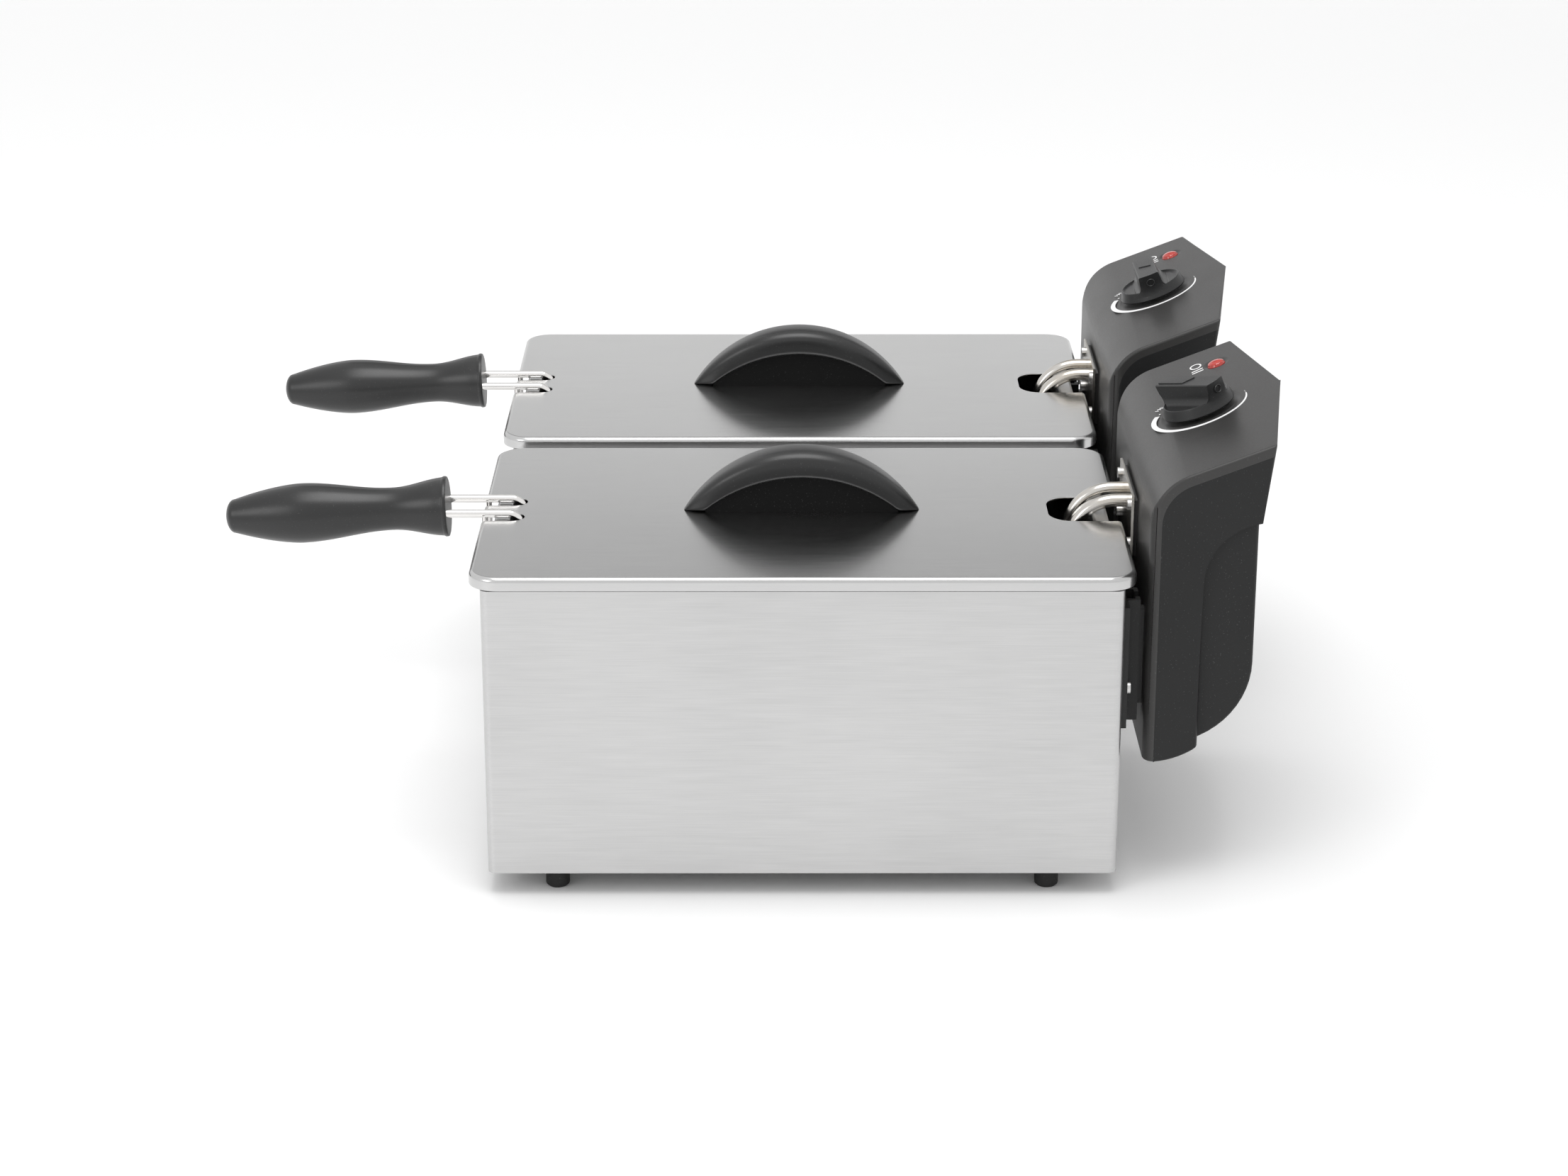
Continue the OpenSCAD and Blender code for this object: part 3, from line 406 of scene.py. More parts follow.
tank_steel = Finish("tank_steel", metallic=1.0)
drawn = tank_steel.speckle(1500.0, 2.0, (1, 1, 0.02))
stain = tank_steel.speckle(14.0, 4.0)
tank_steel.feed(
    base_color=tank_steel.blend(stain, grey(0.46), grey(0.6)),
    roughness=drawn * 0.1 + stain * 0.12 + 0.2,
    normal=tank_steel.relief(drawn, 0.15, 0.00003),
)
deck_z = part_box("top_deck")[1].z
tank_t = 0.8 * MM
rim_w = 8.0 * MM
tub_corner = 26.0 * MM
floor_bend = 30.0 * MM
lip_bend = 1.6 * MM


def centre_of(low, high):
    return ((low.x + high.x) / 2, (low.y + high.y) / 2)


for side in SIDES:
    low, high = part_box("oil_tank_" + side)
    centre = centre_of(low, high)
    rim = (high.x - low.x, high.y - low.y)

    def tank_ring(inset, height, radius):
        outline = round_outline(rim[0] - 2 * inset, rim[1] - 2 * inset, radius, 12, centre)
        return [(x, y, height) for x, y in outline]

    rings = [tank_ring(tank_t, deck_z, tub_corner - tank_t), tank_ring(0, deck_z, tub_corner)]
    for step in range(7):
        angle = math.radians(15 * step)
        rings.append(tank_ring(
            lip_bend * (1 - math.cos(angle)), high.z - lip_bend * (1 - math.sin(angle)), tub_corner
        ))
    for step in range(6):
        angle = math.radians(18 * step)
        rings.append(tank_ring(
            rim_w - lip_bend * (1 - math.sin(angle)), high.z - lip_bend * (1 - math.cos(angle)), tub_corner
        ))
    for wall, heading in ((0, 1), (tank_t, -1)):
        bend = floor_bend + wall
        floor = low.z + tank_t - wall
        sweep = []
        for step in range(11):
            angle = math.radians(9 * step)
            pull = bend * (1 - math.cos(angle))
            sweep.append(tank_ring(
                rim_w - wall + pull, floor + bend * (1 - math.sin(angle)),
                max(tub_corner + wall - pull * 0.5, 4 * MM),
            ))
        rings += sweep[::heading]
    under = high.z - tank_t
    rings.append(tank_ring(rim_w - tank_t, under - lip_bend, tub_corner))
    rings.append(tank_ring(rim_w - lip_bend, under, tub_corner))
    rings.append(tank_ring(lip_bend, under, tub_corner - tank_t))
    rings.append(tank_ring(tank_t, under - lip_bend + tank_t, tub_corner - tank_t))
    tank = loft("drawn_tank_" + side, rings, closed_round=True)
    finished(tank, tank_steel.material, "oil_tank_" + side, "oil_tank_" + side, slot="tank_steel")


# ------------------------------------------------------------------ heating elements
# A sheathed tube, bent into two layers of loops, that comes up over the tank's rim
# and runs into the control unit. Its sheath is bright, with a straw tint from heat.
# Two thin capillaries with sensor bulbs follow it.


def bent(corners):
    """Path through corners of (point, bend radius), with each corner made an arc."""
    points = [Vector(corners[0][0])]
    for i in range(1, len(corners) - 1):
        here = Vector(corners[i][0])
        back = (Vector(corners[i - 1][0]) - here).normalized()
        ahead = (Vector(corners[i + 1][0]) - here).normalized()
        radius = corners[i][1]
        half = back.angle(ahead) / 2
        reach = radius / math.tan(half)
        centre = here + (back + ahead).normalized() * (radius / math.sin(half))
        start, end = here + back * reach - centre, here + ahead * reach - centre
        turn = start.angle(end)
        steps = max(4, round(math.degrees(turn) / 7))
        for step in range(steps + 1):
            share = step / steps
            arm = (start * math.sin((1 - share) * turn) + end * math.sin(share * turn)) / math.sin(turn)
            if (centre + arm - points[-1]).length > 1e-6:
                points.append(centre + arm)
    points.append(Vector(corners[-1][0]))
    return points


def rod(name, paths, radius, sides=20):
    """Round rods along paths of points, closed at both ends with a small chamfer."""
    made = bmesh.new()
    for points in paths:
        heading = (points[1] - points[0]).normalized()
        across = heading.orthogonal().normalized()
        rows = []
        last = len(points) - 1
        for i, point in enumerate(points):
            ahead = (points[min(i + 1, last)] - points[max(i - 1, 0)]).normalized()
            across = (across - ahead * across.dot(ahead)).normalized()
            beside = ahead.cross(across)
            shapes = [(0, radius)]
            if i == 0:
                shapes = [(0, radius * 0.8), (radius * 0.2, radius)]
            if i == last:
                shapes = [(-radius * 0.2, radius), (0, radius * 0.8)]
            for slide, size in shapes:
                rows.append([
                    made.verts.new(
                        point + ahead * slide
                        + across * size * math.cos(math.tau * k / sides)
                        + beside * size * math.sin(math.tau * k / sides)
                    )
                    for k in range(sides)
                ])
        made.faces.new(rows[0][::-1])
        made.faces.new(rows[-1])
        for first, second in zip(rows, rows[1:]):
            band(made, first, second)
    bmesh.ops.recalc_face_normals(made, faces=made.faces)
    return shown(name, made)


def mirrored(half, middle):
    """Whole path from its right half of (point, bend radius), about a middle in X."""
    whole = half + [((-x, y, z), bend) for (x, y, z), bend in half[::-1]]
    return bent([((middle + x, y, z), bend) for (x, y, z), bend in whole])


sheath = Finish("element_sheath", metallic=1.0)
heat = sheath.speckle(30.0, 4.0)
drawing = sheath.speckle(2200.0, 2.0, (1, 0.02, 1))
tint = sheath.blend(heat.within(0.45, 0.75), (0.56, 0.54, 0.51, 1), (0.50, 0.44, 0.35, 1))
sheath.feed(
    base_color=tint,
    roughness=drawing * 0.12 + heat * 0.1 + 0.1,
    normal=sheath.relief(drawing, 0.12, 0.00003),
)
nickel = Finish("nickel_plate", metallic=1.0)
bright = nickel.speckle(120.0, 4.0)
nickel.feed(
    base_color=nickel.blend(bright, (0.56, 0.53, 0.48, 1), (0.74, 0.72, 0.68, 1)),
    roughness=bright * 0.16 + 0.12,
    normal=nickel.relief(bright, 0.1, 0.00005),
)

tube_r = 3.15 * MM
tube_pitch = 19.0 * MM
leg_pitch = 35.0 * MM
foot_bend = 12.0 * MM
rim_bend = 22.0 * MM
rise = 20.0 * MM

for side in SIDES:
    low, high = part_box("heating_element_" + side)
    middle = (low.x + high.x) / 2
    top_z = high.z - tube_r
    low_z = low.z + tube_r
    riser_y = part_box("element_clamps_" + side)[1].y - 6 * MM
    high_z = low_z + rise
    inner = tube_pitch / 2
    outer = inner + leg_pitch
    front_y = low.y + tube_r
    fold_y = front_y + outer - 8 * MM - leg_pitch / 2
    back_y = riser_y - 36 * MM
    half = [
        ((inner, high.y, top_z), 0), ((inner, riser_y, top_z), rim_bend),
        ((inner, riser_y, high_z), foot_bend), ((inner, fold_y, high_z), leg_pitch / 2),
        ((outer, fold_y, high_z), leg_pitch / 2), ((outer, back_y + rise / 2, high_z), rise / 2),
        ((outer, back_y + rise / 2, low_z), rise / 2), ((outer, front_y, low_z), outer),
    ]
    tube = rod("element_tube_" + side, [mirrored(half, middle)], tube_r, 28)
    body = "control_unit_" + side
    finished(tube, sheath.material, body, "heating_element_" + side, slot="element_tube")
    repaint(nickel.material, "element_clamps_" + side, "element_plate_" + side, "sensor_bulbs_" + side)
    repaint(zinc.material, "plate_screws_" + side)


# ------------------------------------------------------------------ baskets
# Each basket is woven steel wire on a thicker rim wire, all bright plated. The mesh
# stands for the plain tray of the model, at the same size.


def wire_mesh(name, panel, radius, material):
    """Turns the edges of a sheet into plated wires, as one mesh."""
    grown(panel, name + "_wires", {
        "Wire radius": ("Float", radius), "Wire sides": ("Int", 5),
        "Closed ends": ("Bool", True), "Material": ("Material", material),
    }, {
        "paths": "GeometryNodeMeshToCurve", "section": "GeometryNodeCurvePrimitiveCircle",
        "sweep": "GeometryNodeCurveToMesh",
    }, [
        ("start", "Geometry", "paths", "Mesh"), ("start", "Wire radius", "section", "Radius"),
        ("start", "Wire sides", "section", "Resolution"), ("start", "Closed ends", "sweep", "Fill Caps"),
        ("paths", "Curve", "sweep", "Curve"), ("section", "Curve", "sweep", "Profile Curve"),
        ("sweep", "Mesh", "real", "Geometry"),
    ])
    return smoothed(panel, 60.0)


chrome = Finish("bright_chrome", metallic=1.0)
shine = chrome.speckle(90.0, 3.0)
chrome.feed(
    base_color=chrome.blend(shine, (0.70, 0.68, 0.66, 1), (0.82, 0.81, 0.80, 1)),
    roughness=shine * 0.12 + 0.04,
)
mesh_pitch = 6.5 * MM
mesh_wire_r = 0.55 * MM
basket_corner = 22.0 * MM
frame_r = 2.0 * MM

for side in SIDES:
    low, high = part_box("basket_" + side)
    body = "basket_" + side
    centre = centre_of(low, high)
    size = (high.x - low.x - 2 * mesh_wire_r, high.y - low.y - 2 * mesh_wire_r)
    weave = bmesh.new()
    outline = round_outline(size[0], size[1], basket_corner, 6, centre)
    loop = []
    for first, second in zip(outline, outline[1:] + outline[:1]):
        first, second = Vector(first), Vector(second)
        parts = max(1, round((second - first).length / mesh_pitch))
        loop += [first.lerp(second, step / parts) for step in range(parts)]
    floor_z = low.z + mesh_wire_r
    levels = round((high.z - floor_z) / mesh_pitch)
    rows = [
        [weave.verts.new((p.x, p.y, floor_z + (high.z - floor_z) * level / levels)) for p in loop]
        for level in range(levels + 1)
    ]
    for level, row in enumerate(rows):
        for i, vert in enumerate(row):
            weave.edges.new((vert, row[(i + 1) % len(row)]))
            if level:
                weave.edges.new((rows[level - 1][i], vert))
    across_x = round(size[0] / mesh_pitch)
    along_y = round(size[1] / mesh_pitch)
    for count, axis in ((across_x, 0), (along_y, 1)):
        for step in range(1, count):
            off = size[axis] * (step / count - 0.5)
            room = size[axis] / 2 - basket_corner
            pull = max(0.0, abs(off) - room)
            span = size[1 - axis] / 2 - basket_corner + math.sqrt(basket_corner ** 2 - pull ** 2)
            parts = along_y if axis == 0 else across_x
            line = []
            for part in range(parts + 1):
                run = span * (2 * part / parts - 1)
                spot = (off, run) if axis == 0 else (run, off)
                over = 0.5 * mesh_wire_r if axis else 0
                line.append(weave.verts.new((centre[0] + spot[0], centre[1] + spot[1], floor_z + over)))
            for first, second in zip(line, line[1:]):
                weave.edges.new((first, second))
    panel_mesh = bpy.data.meshes.new("weave_" + side)
    weave.to_mesh(panel_mesh)
    weave.free()
    panel = place("basket_mesh_" + side, panel_mesh)
    wire_mesh("basket_mesh_" + side, panel, mesh_wire_r, chrome.material)
    finished(panel, chrome.material, body, "basket_" + side, slot="basket_wire")

    low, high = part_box("basket_frame_" + side)
    size = (high.x - low.x - 2 * frame_r, high.y - low.y - 2 * frame_r)
    outline = round_outline(*size, basket_corner - frame_r, 12, centre_of(low, high))
    rings = []
    for i, spot in enumerate(outline):
        before, after = Vector(outline[i - 1]), Vector(outline[(i + 1) % len(outline)])
        out = (after - before).normalized()
        out = Vector((out.y, -out.x))
        rings.append([
            (
                spot[0] + out.x * frame_r * math.cos(math.tau * k / 20),
                spot[1] + out.y * frame_r * math.cos(math.tau * k / 20),
                (low.z + high.z) / 2 + frame_r * math.sin(math.tau * k / 20),
            )
            for k in range(20)
        ])
    rim_wire = loft("basket_rim_" + side, rings, closed_round=True)
    finished(rim_wire, chrome.material, body, "basket_frame_" + side, slot="chrome_wire")


# ------------------------------------------------------------------ basket handles
# One plated wire makes both arms: it comes out of the grip, runs level over the
# tank's rim and down to a U against the basket. A peg under each arm hooks over the
# housing. The grip is a moulded phenolic handle with a flange at the wires.

phenolic = moulded("grip_phenolic", 0.008, -0.02, 0.33, 0.16, 1300.0, 0.55)
wire_r = 2.0 * MM
peg_r = 1.5 * MM
wire_bend = 3 * wire_r
u_bend = 7.0 * MM
droop = math.radians(2.8)
grip_waist = 10.4 * MM
grip_bulge = 14.6 * MM
grip_end = 8.3 * MM
grip_flange = 14.8 * MM
grip_l = 109.0 * MM
flange_t = 2.4 * MM
seam_angle = 0.06


def eased(first, last, share):
    return first + (last - first) * (1 - math.cos(math.pi * share)) / 2


def grip_radius(u):
    """Radius of the grip at a distance u from the flange's face."""
    waist, bulge, tail = 0.25 * grip_l, 0.66 * grip_l, 0.96 * grip_l
    if u < waist:
        return eased(grip_flange - 0.4 * MM, grip_waist, u / waist)
    if u < bulge:
        return eased(grip_waist, grip_bulge, (u - waist) / (bulge - waist))
    if u < tail:
        return grip_end + (grip_bulge - grip_end) * (1 - ((u - bulge) / (tail - bulge)) ** 1.6)
    return grip_end * math.sqrt(max(0.0, 1 - ((u - tail) / (grip_l - tail)) ** 2))


for side in SIDES:
    body = "basket_" + side
    low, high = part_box("handle_wires_" + side)
    middle = (low.x + high.x) / 2
    arm_x = (high.x - low.x) / 2 - wire_r
    arm_z = high.z - wire_r
    drop_y = high.y - wire_r
    foot_z = low.z + wire_r
    peg_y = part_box("lid_" + side)[0].y + peg_r + 0.3 * MM
    peg_z = deck_z - 8 * MM
    half = [
        ((arm_x, low.y, arm_z), 0), ((arm_x, drop_y, arm_z), wire_bend), ((arm_x, drop_y, foot_z), u_bend),
    ]
    arms = rod("handle_arms_" + side, [mirrored(half, middle)], wire_r, 24)
    finished(arms, chrome.material, body, "handle_wires_" + side, slot="chrome_wire")
    pegs = [
        [Vector((middle + x, peg_y, peg_z)), Vector((middle + x, peg_y, arm_z - 0.5 * wire_r))]
        for x in (-arm_x, arm_x)
    ]
    pegs = rod("handle_pegs_" + side, pegs, peg_r, 20)
    finished(pegs, chrome.material, body, slot="chrome_wire")

    profile = [
        (0, 0), (grip_flange - 0.9 * MM, 0), (grip_flange - 0.25 * MM, 0.25 * MM), (grip_flange, 0.9 * MM),
        (grip_flange, flange_t - 0.6 * MM), (grip_flange - 0.3 * MM, flange_t - 0.1 * MM),
    ]
    steps = 60
    for step in range(steps):
        u = flange_t + 0.3 * MM + (grip_l - flange_t - 0.3 * MM) * (1 - (1 - step / steps) ** 1.5)
        profile.append((grip_radius(u), u))
    profile.append((0, grip_l))
    grip = lathe("grip_" + side, profile, 72)
    for vert in grip.data.vertices:
        around = math.atan2(vert.co.y, vert.co.x)
        off_seam = abs(abs(around) - math.pi / 2)
        if off_seam < seam_angle:
            vert.co.x *= 0.99
            vert.co.y *= 0.988
    grip_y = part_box("handle_grip_" + side)[0].y + grip_l * math.cos(droop)
    stand = Matrix.Translation((middle, grip_y, arm_z)) @ Matrix.Rotation(math.pi / 2 + droop, 4, "X")
    grip.data.transform(stand)
    finished(grip, phenolic, body, "handle_grip_" + side, slot="handle_plastic")


# ------------------------------------------------------------------ lids
# Each lid is a pressed stainless sheet, brushed along its length, with a rolled edge
# and a short skirt. Two slots at the front let the handle's wires through, and one
# at the rear the element's tubes. Their edges are cut and deburred.


def prism(name, outline, bottom, top):
    """Upright closed solid over an outline, used as a cutter or as a core."""
    return loft(name, [[(x, y, bottom) for x, y in outline], [(x, y, top) for x, y in outline]])


def trimmed(piece, cutters, operation="DIFFERENCE"):
    """Cuts closed solids out of a piece, or keeps what they share, and drops them."""
    for cutter in cutters:
        cut = piece.modifiers.new("cut", "BOOLEAN")
        cut.operation = operation
        cut.solver = "EXACT"
        cut.object = cutter
    smoothed(settled(piece))
    for cutter in cutters:
        bpy.data.objects.remove(cutter)
    return piece


def merged(mesh, near, flat=None):
    """Opens a mesh with its doubles joined and, within an angle in degrees, its flats merged."""
    work = bmesh.new()
    work.from_mesh(mesh)
    bmesh.ops.remove_doubles(work, verts=work.verts, dist=near)
    if flat:
        bmesh.ops.dissolve_limit(work, angle_limit=math.radians(flat), verts=work.verts, edges=work.edges)
    return work


def softened(piece, width, segments, angle, sharp):
    """Rounds the crisp edges of a clean solid. Both angles are in degrees."""
    work = merged(piece.data, 1e-6, 0.5)
    work.to_mesh(piece.data)
    work.free()
    soft = piece.modifiers.new("soft", "BEVEL")
    soft.width = width
    soft.segments = segments
    soft.angle_limit = math.radians(angle)
    return smoothed(settled(piece), sharp)


lid_steel = brushed("lid_steel", 0.50, 0.57, 0.22, "y", 0.13)
lid_t = 0.8 * MM
roll = 2.4 * MM
lid_corner = 14.0 * MM
slot_w = 12.0 * MM
slot_l = 21.0 * MM
tube_slot_w = 37.0 * MM
tube_slot_l = 35.4 * MM
tube_slot_corner = 12.0 * MM
through = 10.0 * MM

for side in SIDES:
    body = "lid_" + side
    low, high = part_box("lid_" + side)
    centre = centre_of(low, high)
    size = (high.x - low.x, high.y - low.y)

    def lid_ring(inset, height):
        radius = max(lid_corner - inset, 0.4 * MM)
        outline = round_outline(size[0] - 2 * inset, size[1] - 2 * inset, radius, 10, centre)
        return [(x, y, height) for x, y in outline]

    rings = []
    for thick, heading in ((0.0, 1), (lid_t, -1)):
        bend = roll - thick
        top = high.z - thick
        sweep = []
        for step in range(7):
            angle = math.radians(15 * step)
            sweep.append(lid_ring(thick + bend * (1 - math.sin(angle)), top - bend * (1 - math.cos(angle))))
        sweep.append(lid_ring(thick, low.z + (0.25 * MM if thick == 0 else 0)))
        if thick == 0:
            sweep.append(lid_ring(0.25 * MM, low.z))
        rings += sweep[::heading]
    lid = loft("pressed_lid_" + side, rings)
    arm_low, arm_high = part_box("handle_wires_" + side)
    cutters = []
    for x in (arm_low.x + wire_r, arm_high.x - wire_r):
        slot_outline = round_outline(slot_w, 2 * slot_l, slot_w / 2 - 1e-5, 10, (x, low.y))
        cutters.append(prism("slot", slot_outline, low.z - through, high.z + through))
    slot_outline = round_outline(tube_slot_w, 2 * tube_slot_l, tube_slot_corner, 10, (centre[0], high.y))
    cutters.append(prism("slot", slot_outline, low.z - through, high.z + through))
    trimmed(lid, cutters)
    softened(lid, 0.18 * MM, 2, 40.0, 40.0)
    finished(lid, lid_steel, body, "lid_" + side, slot="lid_steel")
    repaint(zinc.material, "lid_screws_" + side)


# ------------------------------------------------------------------ lid handles
# A moulded phenolic crescent: a soft round bow, wide in its middle and drawn out to
# thin feet, with a recessed web below it that takes the two screws. The web is the same
# phenolic, painted darker and duller as the shade that falls under the bow.

# Painted shade: the web gets a darker, less glossy copy of the phenolic for the shade under the bow.
web_painted_shade = moulded("web_painted_shade", 0.0055, 0.0, 0.42, 0.16, 1300.0, 0.12)
handle_web = 8.0 * MM
hollow = 17.5 * MM
foot_bite = 10.5 * MM
stations = 64

for side in SIDES:
    low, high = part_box("lid_handle_" + side)
    half = (high.y - low.y) / 2
    height = high.z - low.z
    half_w = (high.x - low.x) / 2
    middle = centre_of(low, high)
    outer_r = (half * half + height * height) / (2 * height)
    inner_half = half - foot_bite
    inner_r = (inner_half * inner_half + hollow * hollow) / (2 * hollow)
    rings = []
    for i in range(stations + 1):
        t = math.sin(math.pi / 2 * (2 * i / stations - 1)) * 0.9985
        y = half * t
        top = height - outer_r + math.sqrt(outer_r ** 2 - y * y)
        inner = hollow - inner_r + math.sqrt(inner_r ** 2 - y * y) if abs(y) < inner_half else 0.0
        wide = max((half_w - 0.8 * MM) * (1 - abs(t) ** 2.6) ** 0.6 + 0.8 * MM, 0.4 * MM)
        ring = []
        for k in range(32):
            a = math.tau * k / 32
            across = math.copysign(abs(math.cos(a)) ** 0.62, math.cos(a))
            up = math.copysign(abs(math.sin(a)) ** (0.72 if math.sin(a) > 0 else 0.5), math.sin(a))
            height_here = low.z + (top + inner) / 2 + (top - inner) / 2 * up
            ring.append((middle[0] + wide * across, middle[1] + y, height_here))
        rings.append(ring)
    bow = loft("handle_bow_" + side, rings)
    finished(bow, phenolic, "lid_" + side, "lid_handle_" + side, slot="handle_plastic")
    arc_points = []
    for i in range(33):
        y = inner_half * math.sin(math.pi / 2 * (i / 16 - 1))
        arc_points.append((y, hollow - inner_r + math.sqrt(max(inner_r ** 2 - y * y, 0)) + 2.5 * MM))
    outline = [(inner_half, 0), *[(y, z) for y, z in arc_points[::-1]], (-inner_half, 0)]
    web = loft("handle_web_" + side, [
        [(middle[0] + x, middle[1] + y, low.z + z) for y, z in outline]
        for x in (-handle_web / 2, handle_web / 2)
    ])
    finished(web, web_painted_shade, "lid_" + side, slot="handle_plastic")


# ------------------------------------------------------------------ control units
# Each unit is a case of two plastic shells screwed together from behind. The front
# shell is one warm grey moulding: its face, crown and sloping top. The rear shell is
# darker, with a column at the front and a lobe that falls away in a large curve.

front_plastic = moulded("front_plastic", 0.030, 0.02, 0.38, 0.25, 1100.0, 0.4)
case_plastic = moulded("case_plastic", 0.0115, -0.02, 0.46, 0.25, 1100.0, 0.28)
edge_round = 1.5 * MM
dish_r = 21.0 * MM
dish_depth = 0.9 * MM
lens_rim = 2.5 * MM
to_rear = Vector((0, 0.8, -0.6))
lens_r = 4.7 * MM
joints = {joint["name"]: joint for joint in frame["record"]["behaviour"]["joints"]}


def on_slope(side):
    """The sloping top's own frame, with its origin at the knob's centre."""
    joint = joints["knob_turn_" + side]
    out = Vector(joint["axis"]).normalized()
    along = out.cross((1, 0, 0)).normalized()
    turn = Matrix(((1, along.x, out.x), (0, along.y, out.y), (0, along.z, out.z))).to_4x4()
    return Matrix.Translation(joint["pos_m"]) @ turn


def lens_spot(side):
    """Where the pilot lens sits, in the slope's own frame."""
    low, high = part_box("pilot_lens_" + side)
    return on_slope(side).inverted() @ ((low + high) / 2)


def rounded_outside(piece, width, seam, smallest=6e-5):
    """Rounds a shell's large outer edges, and leaves those that face its seam crisp.

    An edge is rounded if both its faces are larger than the smallest area, in square metres.
    """
    work = merged(piece.data, 2e-6)
    weight = work.edges.layers.float.new("bevel_weight_edge")
    for edge in work.edges:
        if len(edge.link_faces) != 2 or not edge.is_convex or edge.calc_length() < 1e-6:
            continue
        if edge.calc_face_angle() < math.radians(25):
            continue
        if any(abs(face.normal.x) < 0.1 and face.normal.dot(seam) > 0.7 for face in edge.link_faces):
            continue
        if min(face.calc_area() for face in edge.link_faces) > smallest:
            edge[weight] = 1.0
    work.to_mesh(piece.data)
    work.free()
    soft = piece.modifiers.new("soft", "BEVEL")
    soft.width = width
    soft.segments = 4
    soft.limit_method = "WEIGHT"
    soft.use_clamp_overlap = False
    return smoothed(settled(piece), 32.0)


for side in SIDES:
    body = "control_unit_" + side
    slope = on_slope(side)
    front, rear = (
        shown(end + "_case_" + side, merged(frame["nodes"][end + "_shell_" + side].data, 2e-6, 1.0))
        for end in ("front", "rear")
    )
    cutters = []
    for radius, spot in ((dish_r, (0, 0)), (lens_r + lens_rim, lens_spot(side).xy)):
        cutter = lathe("dish", [
            (0, -dish_depth), (radius - 3.5 * MM, -dish_depth), (radius - 1.6 * MM, -0.55 * dish_depth),
            (radius, 0), (radius + 0.4 * MM, 0.5 * MM), (radius + 0.4 * MM, 3 * MM), (0, 3 * MM),
        ], 96)
        cutter.data.transform(slope @ Matrix.Translation((*spot, 0)))
        cutters.append(cutter)
    trimmed(front, cutters)
    rounded_outside(front, edge_round, to_rear)
    finished(front, front_plastic, body, "front_shell_" + side, slot="front_plastic")
    rounded_outside(rear, edge_round, -to_rear)
    finished(rear, case_plastic, body, "rear_shell_" + side, slot="case_plastic")
    repaint(zinc.material, "case_screws_" + side)
    repaint(case_plastic, "microswitch_" + side)
    repaint(rail_plastic, "cable_gland_" + side)
    repaint(nickel.material, "spindle_" + side)


# ------------------------------------------------------------------ dial and pilot lens
# The dial is printed in white on the slope: a crescent that swells towards the hot
# end, a dot and a temperature, and a generic lamp mark. The lens is a moulded red dome.

dial_ink = Finish("dial_ink")
wear = dial_ink.speckle(900.0, 3.0)
dial_ink.feed(base_color=dial_ink.blend(wear, grey(0.72), grey(0.86)), roughness=wear * 0.2 + 0.4)
ink_t = 0.06 * MM
dial_r = 23.5 * MM
number_r = 27.5 * MM
number_angle = -138.0
number_size = 3.6 * MM
lamp_spot = (-66.3 * MM, 5.7 * MM)
lens_rise = 1.6 * MM
red_lens = Finish("red_lens", roughness=0.08)
red_lens.shader.inputs["Transmission Weight"].default_value = 0.35
red_lens.shader.inputs["Coat Weight"].default_value = 0.6
ribs = red_lens.speckle(420.0, 2.0)
red_lens.feed(
    base_color=red_lens.blend(ribs, (0.40, 0.010, 0.006, 1), (0.78, 0.045, 0.02, 1)),
    normal=red_lens.relief(ribs, 0.3, 0.0003),
)


def print_flat(made, outline):
    """Adds one thin raised patch of ink over an outline on the slope."""
    lower = [made.verts.new((x, y, -ink_t)) for x, y in outline]
    upper = [made.verts.new((x, y, ink_t)) for x, y in outline]
    made.faces.new(upper)
    made.faces.new(lower[::-1])
    band(made, lower, upper)


def crescent(made, centre, radius, first, last, widths, steps=72, squash=1.0):
    """Prints a curved band as short patches, from one angle to another in degrees."""
    edges = []
    for step in range(steps + 1):
        share = step / steps
        angle = math.radians(first + (last - first) * share)
        half = widths(share) / 2
        edges.append([
            (centre[0] + squash * far * math.cos(angle), centre[1] + far * math.sin(angle))
            for far in (radius - half, radius + half)
        ])
    inner, outer = [pair[0] for pair in edges], [pair[1] for pair in edges]
    lower_in, lower_out, upper_in, upper_out = (
        [made.verts.new((x, y, z)) for x, y in line]
        for line, z in ((inner, -ink_t), (outer, -ink_t), (inner, ink_t), (outer, ink_t))
    )
    around = (upper_in, upper_out, lower_out, lower_in)
    for i in range(steps):
        for a, b in zip(around, around[1:] + around[:1]):
            made.faces.new((a[i], a[i + 1], b[i + 1], b[i]))
    for i in (0, steps):
        made.faces.new((lower_in[i], lower_out[i], upper_out[i], upper_in[i]))


